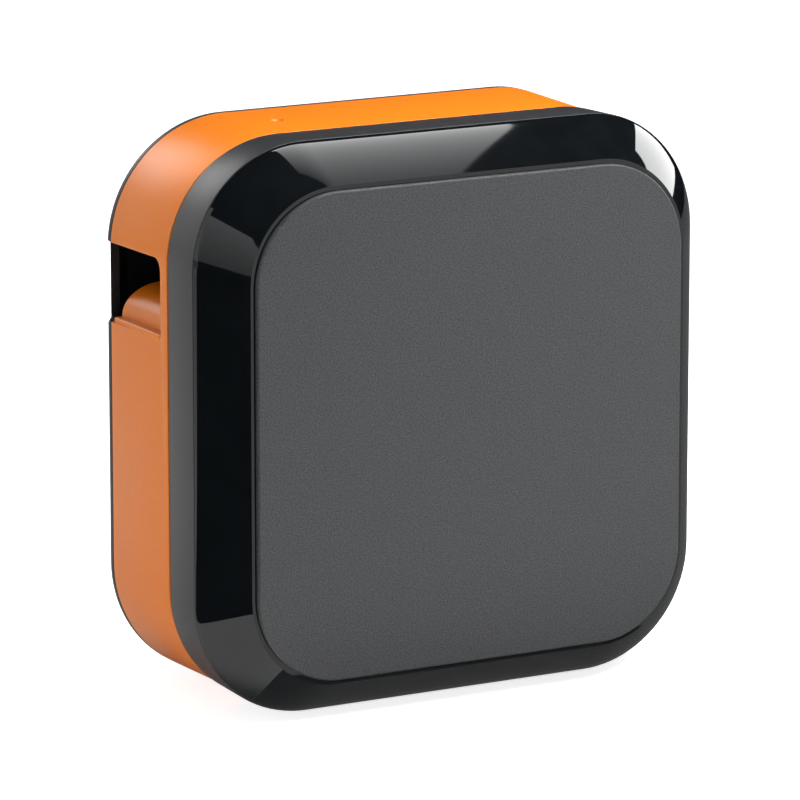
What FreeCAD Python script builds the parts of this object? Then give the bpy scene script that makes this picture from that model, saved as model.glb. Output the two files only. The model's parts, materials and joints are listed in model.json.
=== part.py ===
import FreeCAD, Part
import math
import os

# Desktop label maker for 24 mm tape: a rounded cube-like case that stands on its
# narrow bottom face, with the tape leaving through a window in its left side.
# Millimetres. X to the right, Y to the back, Z up; the origin is on the
# standing surface, under the middle of the case.

Vector = FreeCAD.Vector
ALONG_X = Vector(1, 0, 0)
ALONG_Y = Vector(0, 1, 0)
ALONG_Z = Vector(0, 0, 1)

# ---- case, outside ----
WIDTH = 128.0
TALLER = 1.1                                # the case is this much taller, each half
DEPTH = 67.0
FOOT_PROUD = 0.6                            # feet stand out below the case
HEIGHT = WIDTH + 2 * TALLER + FOOT_PROUD
MID_Z = FOOT_PROUD + (HEIGHT - FOOT_PROUD) / 2
HALF = WIDTH / 2                            # half width at the back rim
BACK_Y = DEPTH / 2
FRONT_Y = -DEPTH / 2
RIM_Y = 19.5                                # where the back cover meets the side band
RIM_FLAT = 1.5                              # straight rim of the back cover
BAND_FRONT_Y = -7.4                         # front edge of the side band
GROOVE = 0.8                                # shadow gap between band and front shell
SHELL_REAR_Y = BAND_FRONT_Y - GROOVE
GLOSS_Y = -21.1                             # front shell meets the gloss bezel
BEZEL_RUN = GLOSS_Y - FRONT_Y               # the bezel slopes over this depth
SEAT_Y = -32.3                              # face of the bezel that carries the plate
CORNER = 28.7                               # corner radius at the back rim
BACK_CHAMFER = 9.0                          # how far the back cover's edge slopes in
BAND_TAPER = 0.6                            # the band is this much narrower in front
SHELL_HALF = 63.5
SHELL_CORNER = 27.2
GLOSS_HALF = 63.9
GLOSS_CORNER = 27.5
BEZEL_IN = 9.63                             # how far the bezel slopes in
BEZEL_CORNER_IN = 6.9
BEZEL_BOW = 1.21                            # 1 would be a flat slope
WALL = 2.0
FIT = 0.1                                   # gap between pieces that lie together

# ---- front plate ----
PLATE_HALF = 54.3
PLATE_CORNER = 20.6
PLATE_EDGE = 0.5
PLATE_POST = 40.0

# ---- small moulding dimple on top ----
DIMPLE = (-28.3, 5.9)

# ---- tape path ----
TAPE_WIDTH = 24.0
TAPE_Y0 = -2.5
TAPE_Y1 = TAPE_Y0 + TAPE_WIDTH
TAPE_Z = 95.5
TAPE_THICK = 0.2
WINDOW_Y = -4.0
WINDOW_Z0 = 85.3
WINDOW_Z1 = 103.6
WINDOW_TOP_R = 2.8
WINDOW_LOW_R = 1.3
NOTCH_Y1 = 24.5                             # the window runs on into the back cover
RAMP_DEEP = 10.0                            # the exit ramp runs this far in
RAMP_FOOT = 1.2                             # its foot lies this far above the sill
RAMP_TOP = 93.4

# ---- chassis and fasteners ----
CHASSIS_FRONT = -6.2
CHASSIS_REAR = -4.4
TONGUE_REAR = -4.7
TRAY_FLOOR = -19.2
TRAY_OPEN = 40.0
BOSS_AT = 48.0
BOSS_R = 3.5
SCREW_R = 1.2
SCREW_HEAD_R = 2.4
SCREW_HEAD = 1.5
HOLE_R = 1.4
BEZEL_SCREW_X = 50.0
BEZEL_SCREW_DZ = 20.0
LUG_X = 42.0
LUG_DZ = 55.0

# ---- gears ----
MODULE = 0.8
PRESSURE = math.radians(25)
ADDENDUM = 0.8 * MODULE
DEDENDUM = 1.25 * MODULE
BACKLASH = 0.16
GEAR_Y0 = -10.2
GEAR_Y1 = -6.9
STUD_R = 1.5
RUN = 0.06                                  # radial running clearance
DRIVE_TEETH = 30
IDLER_TEETH = 29
MOTOR_TEETH = 10
TAKE_UP_TEETH = 24
PLATEN_TEETH = 14
CUTTER_TEETH = 10


def centre_distance(teeth_a, teeth_b):
    return MODULE * (teeth_a + teeth_b) / 2


def polar(centre, distance, degrees):
    """A point (x, z) at a distance and angle from another; 0 is +X, 90 is +Z."""
    turn = math.radians(degrees)
    return (centre[0] + distance * math.cos(turn), centre[1] + distance * math.sin(turn))


PLATEN_R = 5.5
PLATEN = (-32.0, TAPE_Z - TAPE_THICK / 2 - PLATEN_R)
DRIVE = polar(PLATEN, centre_distance(DRIVE_TEETH, PLATEN_TEETH), 90)
IDLER_ANGLE = -33.5
TAKE_UP_ANGLE = -33.5
MOTOR_ANGLE = 60
IDLER = polar(DRIVE, centre_distance(DRIVE_TEETH, IDLER_TEETH), IDLER_ANGLE)
TAKE_UP = polar(IDLER, centre_distance(IDLER_TEETH, TAKE_UP_TEETH), TAKE_UP_ANGLE)
MOTOR = polar(IDLER, centre_distance(IDLER_TEETH, MOTOR_TEETH), MOTOR_ANGLE)
MOTOR_CAN_R = 10.0
MOTOR_FACE = -11.3
HOLDER_PIVOT = (-14.0, 85.0)
HOLDER_OPEN = 11.0                          # degrees that the roller holder drops

# ---- cutter ----
CUTTER_GEAR = (-53.5, 98.0)
RACK_X = CUTTER_GEAR[0] + MODULE * CUTTER_TEETH / 2
BLADE_X = -46.6
BLADE_THICK = 0.6

# ---- cassette ----
CASSETTE_X = (-8.0, 54.0)
CASSETTE_Y = (-4.1, 25.9)
CASSETTE_Z = (52.0, 109.5)
CASSETTE_WALL = 1.2
ROLL = (34.0, 80.0)
ROLL_R = 18.5
CORE_R = 8.0
ROLL_POST_R = 4.0
RIBBON = (6.0, 64.0)
RIBBON_R = 7.0
RIBBON_POST_R = 2.5
TAKE_UP_R = 8.0
TAKE_UP_SHAFT_R = 2.0

# ---- back cover hinge and latch ----
HINGE_X = 61.8
HINGE_Y = RIM_Y - 0.5
BARREL_R = 2.0
RELIEF_R = 2.5
PIN_R = 0.9
HINGE_Z0 = 20.0
HINGE_Z1 = 110.0
HINGE_LUGS = ((32.0, 42.0), (88.0, 98.0))
KNUCKLE_GAP = 0.25
LATCH_X = -44.0
LATCH_Z = MID_Z

# ---- right-hand side: controls ----
CONTROL_Y = 6.0
POWER_Z = 92.0
POWER_R = 4.5
FEED_Z = 74.0
FEED_HALF = (4.5, 8.0)
LIGHT_Z = (58.0, 53.0, 48.0)
LIGHT_R = 1.2
USB_Z = 30.0
USB_HALF = (1.7, 4.6)
SWITCH_X = (55.0, 56.2)

# ---- feet ----
FOOT_R = 4.0
FOOT_X = 34.0
FOOT_Y = (-14.0, 13.0)
FOOT_POCKET = 1.0


# ---------------------------------------------------------------- helpers

def fused(shapes):
    shapes = list(shapes)
    return shapes[0].fuse(shapes[1:]).removeSplitter()


def box(x0, x1, y0, y1, z0, z1):
    return Part.makeBox(x1 - x0, y1 - y0, z1 - z0, Vector(x0, y0, z0))


def rod(centre, radius, y0, y1):
    """A round bar along Y."""
    return Part.makeCylinder(radius, y1 - y0, Vector(centre[0], y0, centre[1]), ALONG_Y)


def pipe(centre, inner, outer, y0, y1):
    return rod(centre, outer, y0, y1).cut(rod(centre, inner, y0 - 1, y1 + 1))


def upright(x, y, radius, z0, z1):
    return Part.makeCylinder(radius, z1 - z0, Vector(x, y, z0), ALONG_Z)


def crosswise(y, z, radius, x0, x1):
    return Part.makeCylinder(radius, x1 - x0, Vector(x0, y, z), ALONG_X)


def rounded_box(x, y, z, radius, along):
    """A box from three (low, high) pairs, its edges along one direction rounded."""
    solid = box(x[0], x[1], y[0], y[1], z[0], z[1])
    edges = []
    for edge in solid.Edges:
        if abs(edge.tangentAt(edge.FirstParameter).dot(along)) > 0.99:
            edges.append(edge)
    return solid.makeFillet(radius, edges)


def outline(y):
    """Half width and corner radius of the case at a depth."""
    rim_end = RIM_Y + RIM_FLAT
    if y > rim_end:
        slope = BACK_CHAMFER * (y - rim_end) / (BACK_Y - rim_end)
        return HALF - slope, CORNER - slope
    if y > RIM_Y:
        return HALF, CORNER
    if y > SHELL_REAR_Y:
        part = (RIM_Y - y) / (RIM_Y - BAND_FRONT_Y)
        return HALF - BAND_TAPER * part, CORNER - part
    if y >= GLOSS_Y:
        part = (SHELL_REAR_Y - y) / (SHELL_REAR_Y - GLOSS_Y)
        half = SHELL_HALF + (GLOSS_HALF - SHELL_HALF) * part
        return half, SHELL_CORNER + (GLOSS_CORNER - SHELL_CORNER) * part
    bow = ((GLOSS_Y - y) / BEZEL_RUN) ** BEZEL_BOW
    return GLOSS_HALF - BEZEL_IN * bow, GLOSS_CORNER - BEZEL_CORNER_IN * bow


def rounded_square(half, radius, y, taller=TALLER):
    """An upright rounded square in the plane at y, as a closed wire."""
    high = half + taller
    edges = []
    for turn in range(4):
        across = (half, high, half, high)[turn]
        along = (high, half, high, half)[turn]
        angle = math.radians(90 * turn)
        side = (math.cos(angle), math.sin(angle))
        ahead = (-side[1], side[0])

        def point(out, forward):
            x = side[0] * out + ahead[0] * forward
            z = side[1] * out + ahead[1] * forward
            return Vector(x, y, MID_Z + z)

        lean = radius * (1 - math.sqrt(0.5))
        start = point(across, -(along - radius))
        end = point(across, along - radius)
        middle = point(across - lean, along - lean)
        after = point(across - radius, along)
        edges.append(Part.makeLine(start, end))
        edges.append(Part.Arc(end, middle, after).toShape())
    return Part.Wire(edges)


def case_ring(y, inset=0.0):
    half, radius = outline(y)
    return rounded_square(half - inset, radius - inset, y)


def case_block(depths, inset=0.0):
    """The case's solid form through several depths, or that form inset."""
    return Part.makeLoft([case_ring(y, inset) for y in depths], True, True)


def slab(half, radius, y0, y1):
    """A flat rounded-square plate between two depths."""
    face = Part.Face(rounded_square(half, radius, y0))
    return face.extrude(Vector(0, y1 - y0, 0))


def four(x, dz):
    """Four places, left and right, above and below the middle of the case."""
    return [(sx * x, MID_Z + sz * dz) for sx in (-1, 1) for sz in (-1, 1)]


def screw(centre, head_y, length):
    """A socket-head screw along Y; its head rests on head_y, its shank points forward."""
    shank = rod(centre, SCREW_R, head_y - length, head_y)
    head = rod(centre, SCREW_HEAD_R, head_y, head_y + SCREW_HEAD)
    socket = rod(centre, 0.9, head_y + 0.8, head_y + SCREW_HEAD + 1)
    return fused([shank, head]).cut(socket)


def involute(angle):
    return math.tan(angle) - angle


def gear(centre, teeth, tooth_at, bore, y0=GEAR_Y0, y1=GEAR_Y1):
    """A spur gear along Y; tooth_at is the direction of one tooth, in degrees."""
    pitch_r = MODULE * teeth / 2
    base_r = pitch_r * math.cos(PRESSURE)
    root_r = pitch_r - DEDENDUM
    tip_r = pitch_r + ADDENDUM
    half_pitch = (math.pi * MODULE / 2 - BACKLASH) / (2 * pitch_r)
    start_r = max(base_r, root_r)

    def half_angle(radius):
        return half_pitch + involute(PRESSURE) - involute(math.acos(base_r / radius))

    def at(radius, turn):
        place = polar(centre, radius, math.degrees(turn))
        return Vector(place[0], y0, place[1])

    edges = []
    for tooth in range(teeth):
        mid = math.radians(tooth_at + 360 * tooth / teeth)
        following = math.radians(tooth_at + 360 * (tooth + 1) / teeth)
        radii = [start_r + (tip_r - start_r) * step / 3 for step in range(4)]
        rising = [at(r, mid - half_angle(r)) for r in radii]
        falling = [at(r, mid + half_angle(r)) for r in reversed(radii)]
        if root_r < start_r:
            edges.append(Part.makeLine(at(root_r, mid - half_angle(start_r)), rising[0]))
        for flank in (rising, falling):
            curve = Part.BSplineCurve()
            curve.interpolate(flank)
            if flank is falling:
                edges.append(Part.Arc(rising[-1], at(tip_r, mid), falling[0]).toShape())
            edges.append(curve.toShape())
        root = at(root_r, mid + half_angle(start_r))
        if root_r < start_r:
            edges.append(Part.makeLine(falling[-1], root))
        else:
            root = falling[-1]
        low_r = min(root_r, start_r)
        next_root = at(low_r, following - half_angle(start_r))
        edges.append(Part.Arc(root, at(low_r, (mid + following) / 2), next_root).toShape())
    face = Part.Face(Part.Wire(edges))
    body = face.extrude(Vector(0, y1 - y0, 0))
    return body.cut(rod(centre, bore, y0 - 1, y1 + 1))


def meshing(tooth_at, teeth, partner_teeth, direction):
    """Where the partner's tooth points so that it meshes with a gear, in degrees."""
    phase = (direction - tooth_at) * teeth / 360
    return direction + 180 - (360 / partner_teeth) * (0.5 - phase)


def coil(centre, y0, turns, pitch, radius, wire):
    """A helical spring along Y."""
    helix = Part.makeHelix(pitch, pitch * turns, radius)
    section = Part.Wire(Part.makeCircle(wire, Vector(radius, 0, 0), Vector(0, 1, 0)))
    spring = Part.Wire(helix.Edges).makePipeShell([section], True, True)
    spring.rotate(Vector(0, 0, 0), ALONG_X, -90)
    spring.translate(Vector(centre[0], y0, centre[1]))
    return spring


# ---------------------------------------------------------------- the case

def front_plate():
    """The textured plate on the front, with its edge rounded over."""
    body = slab(PLATE_HALF, PLATE_CORNER, FRONT_Y, SEAT_Y)
    edges = [e for e in body.Edges if abs(e.CenterOfMass.y - FRONT_Y) < 0.01]
    body = body.makeFillet(PLATE_EDGE, edges)
    posts = [rod(at, 1.5, SEAT_Y - 0.2, SEAT_Y + 2.6) for at in four(PLATE_POST, PLATE_POST)]
    return fused([body] + posts)


def front_bezel():
    """The gloss frame around the plate, a sloping cap closed behind the plate."""
    steps = 5
    depths = [GLOSS_Y + (SEAT_Y - GLOSS_Y) * step / steps for step in range(steps + 1)]
    outside = case_block(depths)
    inner = [GLOSS_Y + 1] + [GLOSS_Y + (SEAT_Y + WALL - GLOSS_Y) * n / 3 for n in range(4)]
    rings = [rounded_square(GLOSS_HALF - 2.4, GLOSS_CORNER - 2.4, inner[0])]
    rings += [case_ring(y, 2.4) for y in inner[1:]]
    shell = outside.cut(Part.makeLoft(rings, True, True))
    bosses = []
    for at in four(BEZEL_SCREW_X, BEZEL_SCREW_DZ):
        bosses.append(rod(at, 3.0, SEAT_Y + 1, GLOSS_Y).common(outside))
    shell = fused([shell] + bosses)
    for at in four(BEZEL_SCREW_X, BEZEL_SCREW_DZ):
        shell = shell.cut(rod(at, SCREW_R - 0.1, GLOSS_Y - 8, GLOSS_Y + 1))
    for at in four(PLATE_POST, PLATE_POST):
        shell = shell.cut(rod(at, 1.5 + FIT, SEAT_Y - 1, SEAT_Y + WALL + 1))
    return shell


def front_shell():
    """The satin tray between bezel and band, with a tongue that enters the band."""
    tray = case_block([SHELL_REAR_Y, GLOSS_Y])
    inner = [rounded_square(SHELL_HALF - WALL, SHELL_CORNER - WALL, SHELL_REAR_Y + 1)]
    inner += [case_ring(y, WALL) for y in (SHELL_REAR_Y, TRAY_FLOOR)]
    tray = tray.cut(Part.makeLoft(inner, True, True))
    reach = TRAY_OPEN
    tray = tray.cut(box(-reach, reach, GLOSS_Y - 1, TRAY_FLOOR + 1, MID_Z - reach, MID_Z + reach))
    tray = tray.cut(rod(MOTOR, MOTOR_CAN_R + 1, GLOSS_Y - 1, TRAY_FLOOR + 1))
    root = slab(SHELL_HALF - 1, SHELL_CORNER - 1, SHELL_REAR_Y - 3, SHELL_REAR_Y)
    tongue = slab(61.2, SHELL_CORNER - 2.3, SHELL_REAR_Y - 1, TONGUE_REAR)
    ledge = fused([root, tongue])
    ledge = ledge.cut(slab(59.6, SHELL_CORNER - 3.9, SHELL_REAR_Y - 4, TONGUE_REAR + 1))
    bosses = [rod(at, BOSS_R, TRAY_FLOOR - 0.5, CHASSIS_FRONT) for at in four(BOSS_AT, BOSS_AT)]
    tray = fused([tray, ledge] + bosses)
    for at in four(BOSS_AT, BOSS_AT):
        tray = tray.cut(rod(at, SCREW_R - 0.1, CHASSIS_FRONT - 10, CHASSIS_FRONT + 1))
    for at in four(BEZEL_SCREW_X, BEZEL_SCREW_DZ):
        tray = tray.cut(rod(at, HOLE_R, GLOSS_Y - 1, TRAY_FLOOR + 1))
    for side in (-1, 1):
        tray = tray.cut(foot_pocket(side * FOOT_X, FOOT_Y[0]))
    return tray


def foot_pocket(x, y):
    half, _ = outline(y)
    bottom = MID_Z - (half + TALLER)
    return upright(x, y, FOOT_R + 0.05, -1, bottom + FOOT_POCKET)


def rubber_feet():
    """Four rubber pads in pockets of the bottom, two in front and two behind."""
    pads = []
    for y in FOOT_Y:
        half, _ = outline(y)
        top = MID_Z - (half + TALLER) + FOOT_POCKET
        for side in (-1, 1):
            pads.append(upright(side * FOOT_X, y, FOOT_R, 0, top))
    return Part.makeCompound(pads)


def window_block(x0, x1, y1):
    """The tape window's shape as a block along X; its front corners are round."""
    y0, z0, z1 = WINDOW_Y, WINDOW_Z0, WINDOW_Z1
    low, top = WINDOW_LOW_R, WINDOW_TOP_R
    lean = 1 - math.sqrt(0.5)

    def at(y, z):
        return Vector(x0, y, z)

    edges = [
        Part.makeLine(at(y1, z0), at(y0 + low, z0)),
        Part.Arc(at(y0 + low, z0), at(y0 + low * lean, z0 + low * lean), at(y0, z0 + low)).toShape(),
        Part.makeLine(at(y0, z0 + low), at(y0, z1 - top)),
        Part.Arc(at(y0, z1 - top), at(y0 + top * lean, z1 - top * lean), at(y0 + top, z1)).toShape(),
        Part.makeLine(at(y0 + top, z1), at(y1, z1)),
        Part.makeLine(at(y1, z1), at(y1, z0)),
    ]
    return Part.Face(Part.Wire(edges)).extrude(Vector(x1 - x0, 0, 0))


def oblong(half_y, half_z, x0, x1, grow=0.0):
    """A slot with round ends on the right-hand side, along X."""
    r = half_y + grow
    straight = half_z - half_y
    middle = box(x0, x1, CONTROL_Y - r, CONTROL_Y + r, FEED_Z - straight, FEED_Z + straight)
    ends = [crosswise(CONTROL_Y, FEED_Z + s * straight, r, x0, x1) for s in (-1, 1)]
    return fused([middle] + ends)


def side_band():
    """The coloured band round the middle, open at the left for the tape."""
    band = case_block([RIM_Y, BAND_FRONT_Y])
    inner = [rounded_square(HALF - WALL, CORNER - WALL, RIM_Y + 1)]
    inner.append(rounded_square(HALF - BAND_TAPER - WALL, CORNER - 1 - WALL, BAND_FRONT_Y - 1))
    band = band.cut(Part.makeLoft(inner, True, True))
    pieces = [band.cut(upright(HINGE_X, HINGE_Y, RELIEF_R, 10, 118))]
    for z0, z1 in HINGE_LUGS:
        pieces.append(upright(HINGE_X, HINGE_Y, BARREL_R, z0, z1))
        pieces.append(box(HINGE_X - 2.0, HINGE_X + 0.7, HINGE_Y - 6, HINGE_Y, z0, z1))
    for x, z in four(LUG_X, LUG_DZ):
        low, high = (0, z + 4) if z < MID_Z else (z - 4, HEIGHT)
        lug = box(x - 4, x + 4, CHASSIS_REAR, 0.5, low, high)
        pieces.append(lug.common(case_block([RIM_Y, BAND_FRONT_Y], WALL / 2)))
    pieces.append(box(-62.5, -60.9, RIM_Y - 6, RIM_Y - 1, LATCH_Z - 8, LATCH_Z + 8))
    band = fused(pieces)
    for z0, z1 in HINGE_LUGS:
        band = band.cut(upright(HINGE_X, HINGE_Y, PIN_R, z0 - 1, z1 + 1))
    for at in four(LUG_X, LUG_DZ):
        band = band.cut(rod(at, HOLE_R, CHASSIS_REAR - 1, 2))
    band = band.cut(window_block(-66, -58, RIM_Y + 1))
    band = band.cut(crosswise(CONTROL_Y, POWER_Z, POWER_R + 0.15, 58, 66))
    band = band.cut(oblong(FEED_HALF[0], FEED_HALF[1], 58, 66, 0.15))
    for z in LIGHT_Z:
        band = band.cut(crosswise(CONTROL_Y, z, LIGHT_R + 0.05, 58, 66))
    half_y, half_z = USB_HALF
    port = ((58, 66), (CONTROL_Y - half_y, CONTROL_Y + half_y), (USB_Z - half_z, USB_Z + half_z))
    band = band.cut(rounded_box(*port, 1.5, ALONG_X))
    for side in (-1, 1):
        band = band.cut(foot_pocket(side * FOOT_X, FOOT_Y[1]))
    half, _ = outline(DIMPLE[1])
    top = MID_Z + half + TALLER
    return band.cut(Part.makeSphere(3.0, Vector(DIMPLE[0], DIMPLE[1], top + 2.5)))


def exit_ramp():
    """The rounded hump behind the window's sill, over which the label slides out."""
    x0 = -HALF + BAND_TAPER + WALL + FIT
    foot = WINDOW_Z0 + RAMP_FOOT
    rise = RAMP_TOP - foot
    thick = 1.6

    def arch(shrink):
        """The quarter-round outside of the hump, or that curve moved inward."""
        start = Vector(x0 + shrink, WINDOW_Y, foot - 1)
        side = Vector(x0 + shrink, WINDOW_Y, foot)
        lean = 1 - math.sqrt(0.5)
        across = x0 + shrink + (RAMP_DEEP - shrink) * lean
        middle = Vector(across, WINDOW_Y, foot + (rise - shrink) * (1 - lean))
        end = Vector(x0 + RAMP_DEEP, WINDOW_Y, RAMP_TOP - shrink)
        return start, side, middle, end

    start, side, middle, end = arch(0)
    start_in, side_in, middle_in, end_in = arch(thick)
    edges = [
        Part.makeLine(start, side),
        Part.Arc(side, middle, end).toShape(),
        Part.makeLine(end, end_in),
        Part.Arc(end_in, middle_in, side_in).toShape(),
        Part.makeLine(side_in, start_in),
        Part.makeLine(start_in, start),
    ]
    return Part.Face(Part.Wire(edges)).extrude(Vector(0, RIM_Y - WINDOW_Y - 0.4, 0))


def exit_hood():
    """The dark roof over the tape's way out, with two stiffening ribs on it."""
    x0, x1 = -HALF + BAND_TAPER + WALL + FIT, -50.4
    z0 = WINDOW_Z1 + 0.2
    parts = [box(x0, x1, CHASSIS_REAR + 0.1, RIM_Y - 0.4, z0, z0 + 1.4)]
    for y in (2.0, 12.0):
        parts.append(box(x0 + 1, x1, y, y + 1.2, z0 + 1.2, z0 + 4))
    return fused(parts)


def back_cover():
    """The back cover: a shallow lid hinged on its right-hand edge."""
    rim_end = RIM_Y + RIM_FLAT
    lid = case_block([RIM_Y, rim_end, BACK_Y])
    hollow = [rounded_square(HALF - WALL, CORNER - WALL, RIM_Y - 1)]
    hollow.append(rounded_square(HALF - WALL, CORNER - WALL, rim_end))
    hollow.append(case_ring(BACK_Y - WALL, WALL + 0.6))
    lid = lid.cut(Part.makeLoft(hollow, True, True))
    lid = lid.cut(box(HINGE_X, 70, 10, 40, -5, HEIGHT + 5))
    lid = lid.cut(upright(HINGE_X, HINGE_Y, BARREL_R + 0.05, -5, HINGE_Z0))
    lid = lid.cut(upright(HINGE_X, HINGE_Y, BARREL_R + 0.05, HINGE_Z1, HEIGHT + 5))
    barrel = upright(HINGE_X, HINGE_Y, BARREL_R, HINGE_Z0, HINGE_Z1)
    web = box(HINGE_X - BARREL_R, HINGE_X, HINGE_Y, HINGE_Y + 4.6, HINGE_Z0, HINGE_Z1)
    lid = fused([lid, barrel, web, cam_rib()] + latch_guides())
    for z0, z1 in HINGE_LUGS:
        gap = KNUCKLE_GAP
        lid = lid.cut(upright(HINGE_X, HINGE_Y, BARREL_R + 0.3, z0 - gap, z1 + gap))
        lid = lid.cut(upright(HINGE_X, HINGE_Y, PIN_R + RUN, z0 - 6, z1 + 6))
    lid = lid.cut(window_block(-66, -56, NOTCH_Y1))
    lid = lid.cut(cover_window_hole(0.0))
    slot = box(LATCH_X - 6, LATCH_X + 9, BACK_Y - WALL - 1, BACK_Y + 1, LATCH_Z - 5, LATCH_Z + 5)
    return lid.cut(slot)


def cam_rib():
    """The rib inside the cover that presses the roller holder up when it shuts."""
    return box(-27, -22, TAPE_Y1 + 2.2, BACK_Y - 1, 84, 86)


def cover_window_hole(grow):
    x0, x1, z0, z1 = 14 - grow, 46 + grow, 68 - grow, 98 + grow
    return rounded_box((x0, x1), (BACK_Y - 3, BACK_Y + 1), (z0, z1), 4 + grow, ALONG_Y)


def cover_window():
    """A clear pane in the back cover, to see which tape is in."""
    pane = cover_window_hole(-FIT).common(box(0, 60, BACK_Y - 1.6, BACK_Y - 0.2, 50, 120))
    flange = cover_window_hole(1.5)
    flange = flange.common(box(0, 60, BACK_Y - WALL - 0.9, BACK_Y - WALL, 50, 120))
    neck = cover_window_hole(-FIT).common(box(0, 60, BACK_Y - WALL - 0.9, BACK_Y - 0.3, 50, 120))
    return fused([pane, flange, neck])


def cover_latch():
    """The thumb slide that holds the cover shut; ribs on it give grip."""
    thumb = rounded_box(
        (LATCH_X - 4.5, LATCH_X + 4.5), (BACK_Y - WALL - 0.8, BACK_Y - 0.5),
        (LATCH_Z - 4.5, LATCH_Z + 4.5), 1.5, ALONG_Y)
    ribs = []
    for n in range(4):
        x = LATCH_X - 3.3 + 2 * n
        ribs.append(box(x, x + 0.6, BACK_Y - 0.6, BACK_Y - 0.05, LATCH_Z - 3.5, LATCH_Z + 3.5))
    y0, y1 = BACK_Y - WALL - 1.6, BACK_Y - WALL - 0.1
    slider = box(LATCH_X - 5, LATCH_X + 12, y0, y1, LATCH_Z - 7, LATCH_Z + 7)
    tip = RIM_Y - 4.4
    leg = box(LATCH_X - 5, LATCH_X - 3, tip, y1 - 0.8, LATCH_Z - 4, LATCH_Z + 4)
    tongue = box(-60.6, LATCH_X - 3, tip, tip + 2, LATCH_Z - 4, LATCH_Z + 4)
    return fused([thumb, slider, leg, tongue] + ribs)


def latch_guides():
    """Two rails inside the cover that carry the latch."""
    rails = []
    for side in (-1, 1):
        z = LATCH_Z + side * 8.6
        y0, y1 = BACK_Y - WALL - 2.8, BACK_Y - WALL
        x0, x1 = LATCH_X - 3, LATCH_X + 18
        inner = z - side * 2.6
        post = box(x0, x1, y0, y1, z - 1.4, z + 1.4)
        lip = box(x0, x1, y0, y0 + 1.0, inner - 1.4, inner + 1.4)
        rails += [post, lip]
    return rails


def hinge_pins():
    """Two steel pins, each through a lug of the band into the cover's barrel."""
    return Part.makeCompound(
        [upright(HINGE_X, HINGE_Y, PIN_R, z0 - 5.5, z1 + 5.5) for z0, z1 in HINGE_LUGS])


# ---------------------------------------------------------------- controls

def power_button():
    """The round power key, with a flange that keeps it in the band."""
    cap = crosswise(CONTROL_Y, POWER_Z, POWER_R, 60.0, HALF - 0.1)
    flange = crosswise(CONTROL_Y, POWER_Z, POWER_R + 1.2, 59.2, 60.6)
    return fused([cap, flange])


def feed_button():
    """The long key that feeds and cuts."""
    cap = oblong(FEED_HALF[0], FEED_HALF[1], 60.0, HALF - 0.1)
    flange = oblong(FEED_HALF[0] + 1.2, FEED_HALF[1] + 1.2, 59.2, 60.6)
    return fused([cap, flange])


def light_pipes():
    """Three clear rods that carry the lamps' light through the band."""
    rods = []
    for z in LIGHT_Z:
        pipe_rod = crosswise(CONTROL_Y, z, LIGHT_R, 58.0, 63.55)
        collar = crosswise(CONTROL_Y, z, LIGHT_R + 0.7, 58.0, 59.2)
        rods.append(fused([pipe_rod, collar]))
    return Part.makeCompound(rods)


def switch_board():
    """The small upright board behind the keys."""
    board = box(SWITCH_X[0], SWITCH_X[1], -1.5, 15.5, 22, 98)
    for z in (26.0, 64.0, 95.0):
        board = board.cut(crosswise(12.5, z, 1.0, 54, 58))
    return board


def key_switches():
    """The two click switches on the small board."""
    switches = []
    for z in (POWER_Z, FEED_Z):
        can = box(SWITCH_X[1], 57.6, CONTROL_Y - 3, CONTROL_Y + 3, z - 3, z + 3)
        plunger = crosswise(CONTROL_Y, z, 1.6, 57.6, 58.3)
        switches.append(fused([can, plunger]))
    return Part.makeCompound(switches)


def usb_socket():
    """The charging and data socket, a rounded steel shell round a tongue."""
    half_y, half_z = USB_HALF
    y = (CONTROL_Y - half_y + FIT, CONTROL_Y + half_y - FIT)
    z = (USB_Z - half_z + FIT, USB_Z + half_z - FIT)
    shell = rounded_box((SWITCH_X[1], 63.2), y, z, 1.4, ALONG_X)
    inside = rounded_box(
        (58, 65), (y[0] + 0.35, y[1] - 0.35), (z[0] + 0.35, z[1] - 0.35), 1.1, ALONG_X)
    tongue = box(57.5, 62.4, CONTROL_Y - 0.35, CONTROL_Y + 0.35, USB_Z - 3.2, USB_Z + 3.2)
    return fused([shell.cut(inside), tongue])


# ---------------------------------------------------------------- chassis

def slot_between(a, b, radius, y0, y1):
    """A slot with round ends from one place to another, through some depth."""
    length = math.hypot(b[0] - a[0], b[1] - a[1])
    bar = box(0, length, y0, y1, -radius, radius)
    bar.rotate(Vector(0, 0, 0), ALONG_Y, -math.degrees(math.atan2(b[1] - a[1], b[0] - a[0])))
    bar.translate(Vector(a[0], 0, a[1]))
    return fused([bar, rod(a, radius, y0, y1), rod(b, radius, y0, y1)])


def dropped_platen():
    """Where the platen goes when the roller holder drops."""
    dx, dz = PLATEN[0] - HOLDER_PIVOT[0], PLATEN[1] - HOLDER_PIVOT[1]
    reach = math.hypot(dx, dz)
    return polar(HOLDER_PIVOT, reach, math.degrees(math.atan2(dz, dx)) + HOLDER_OPEN)


BOARD_POSTS = [(2.0, 60.0), (48.0, 60.0), (19.0, 92.0), (48.0, 92.0)]
CASSETTE_POSTS = [(-3.0, 56.5), (48.0, 56.5)]


def motor_posts():
    return [polar(MOTOR, 8.0, 30), polar(MOTOR, 8.0, 150)]


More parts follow.
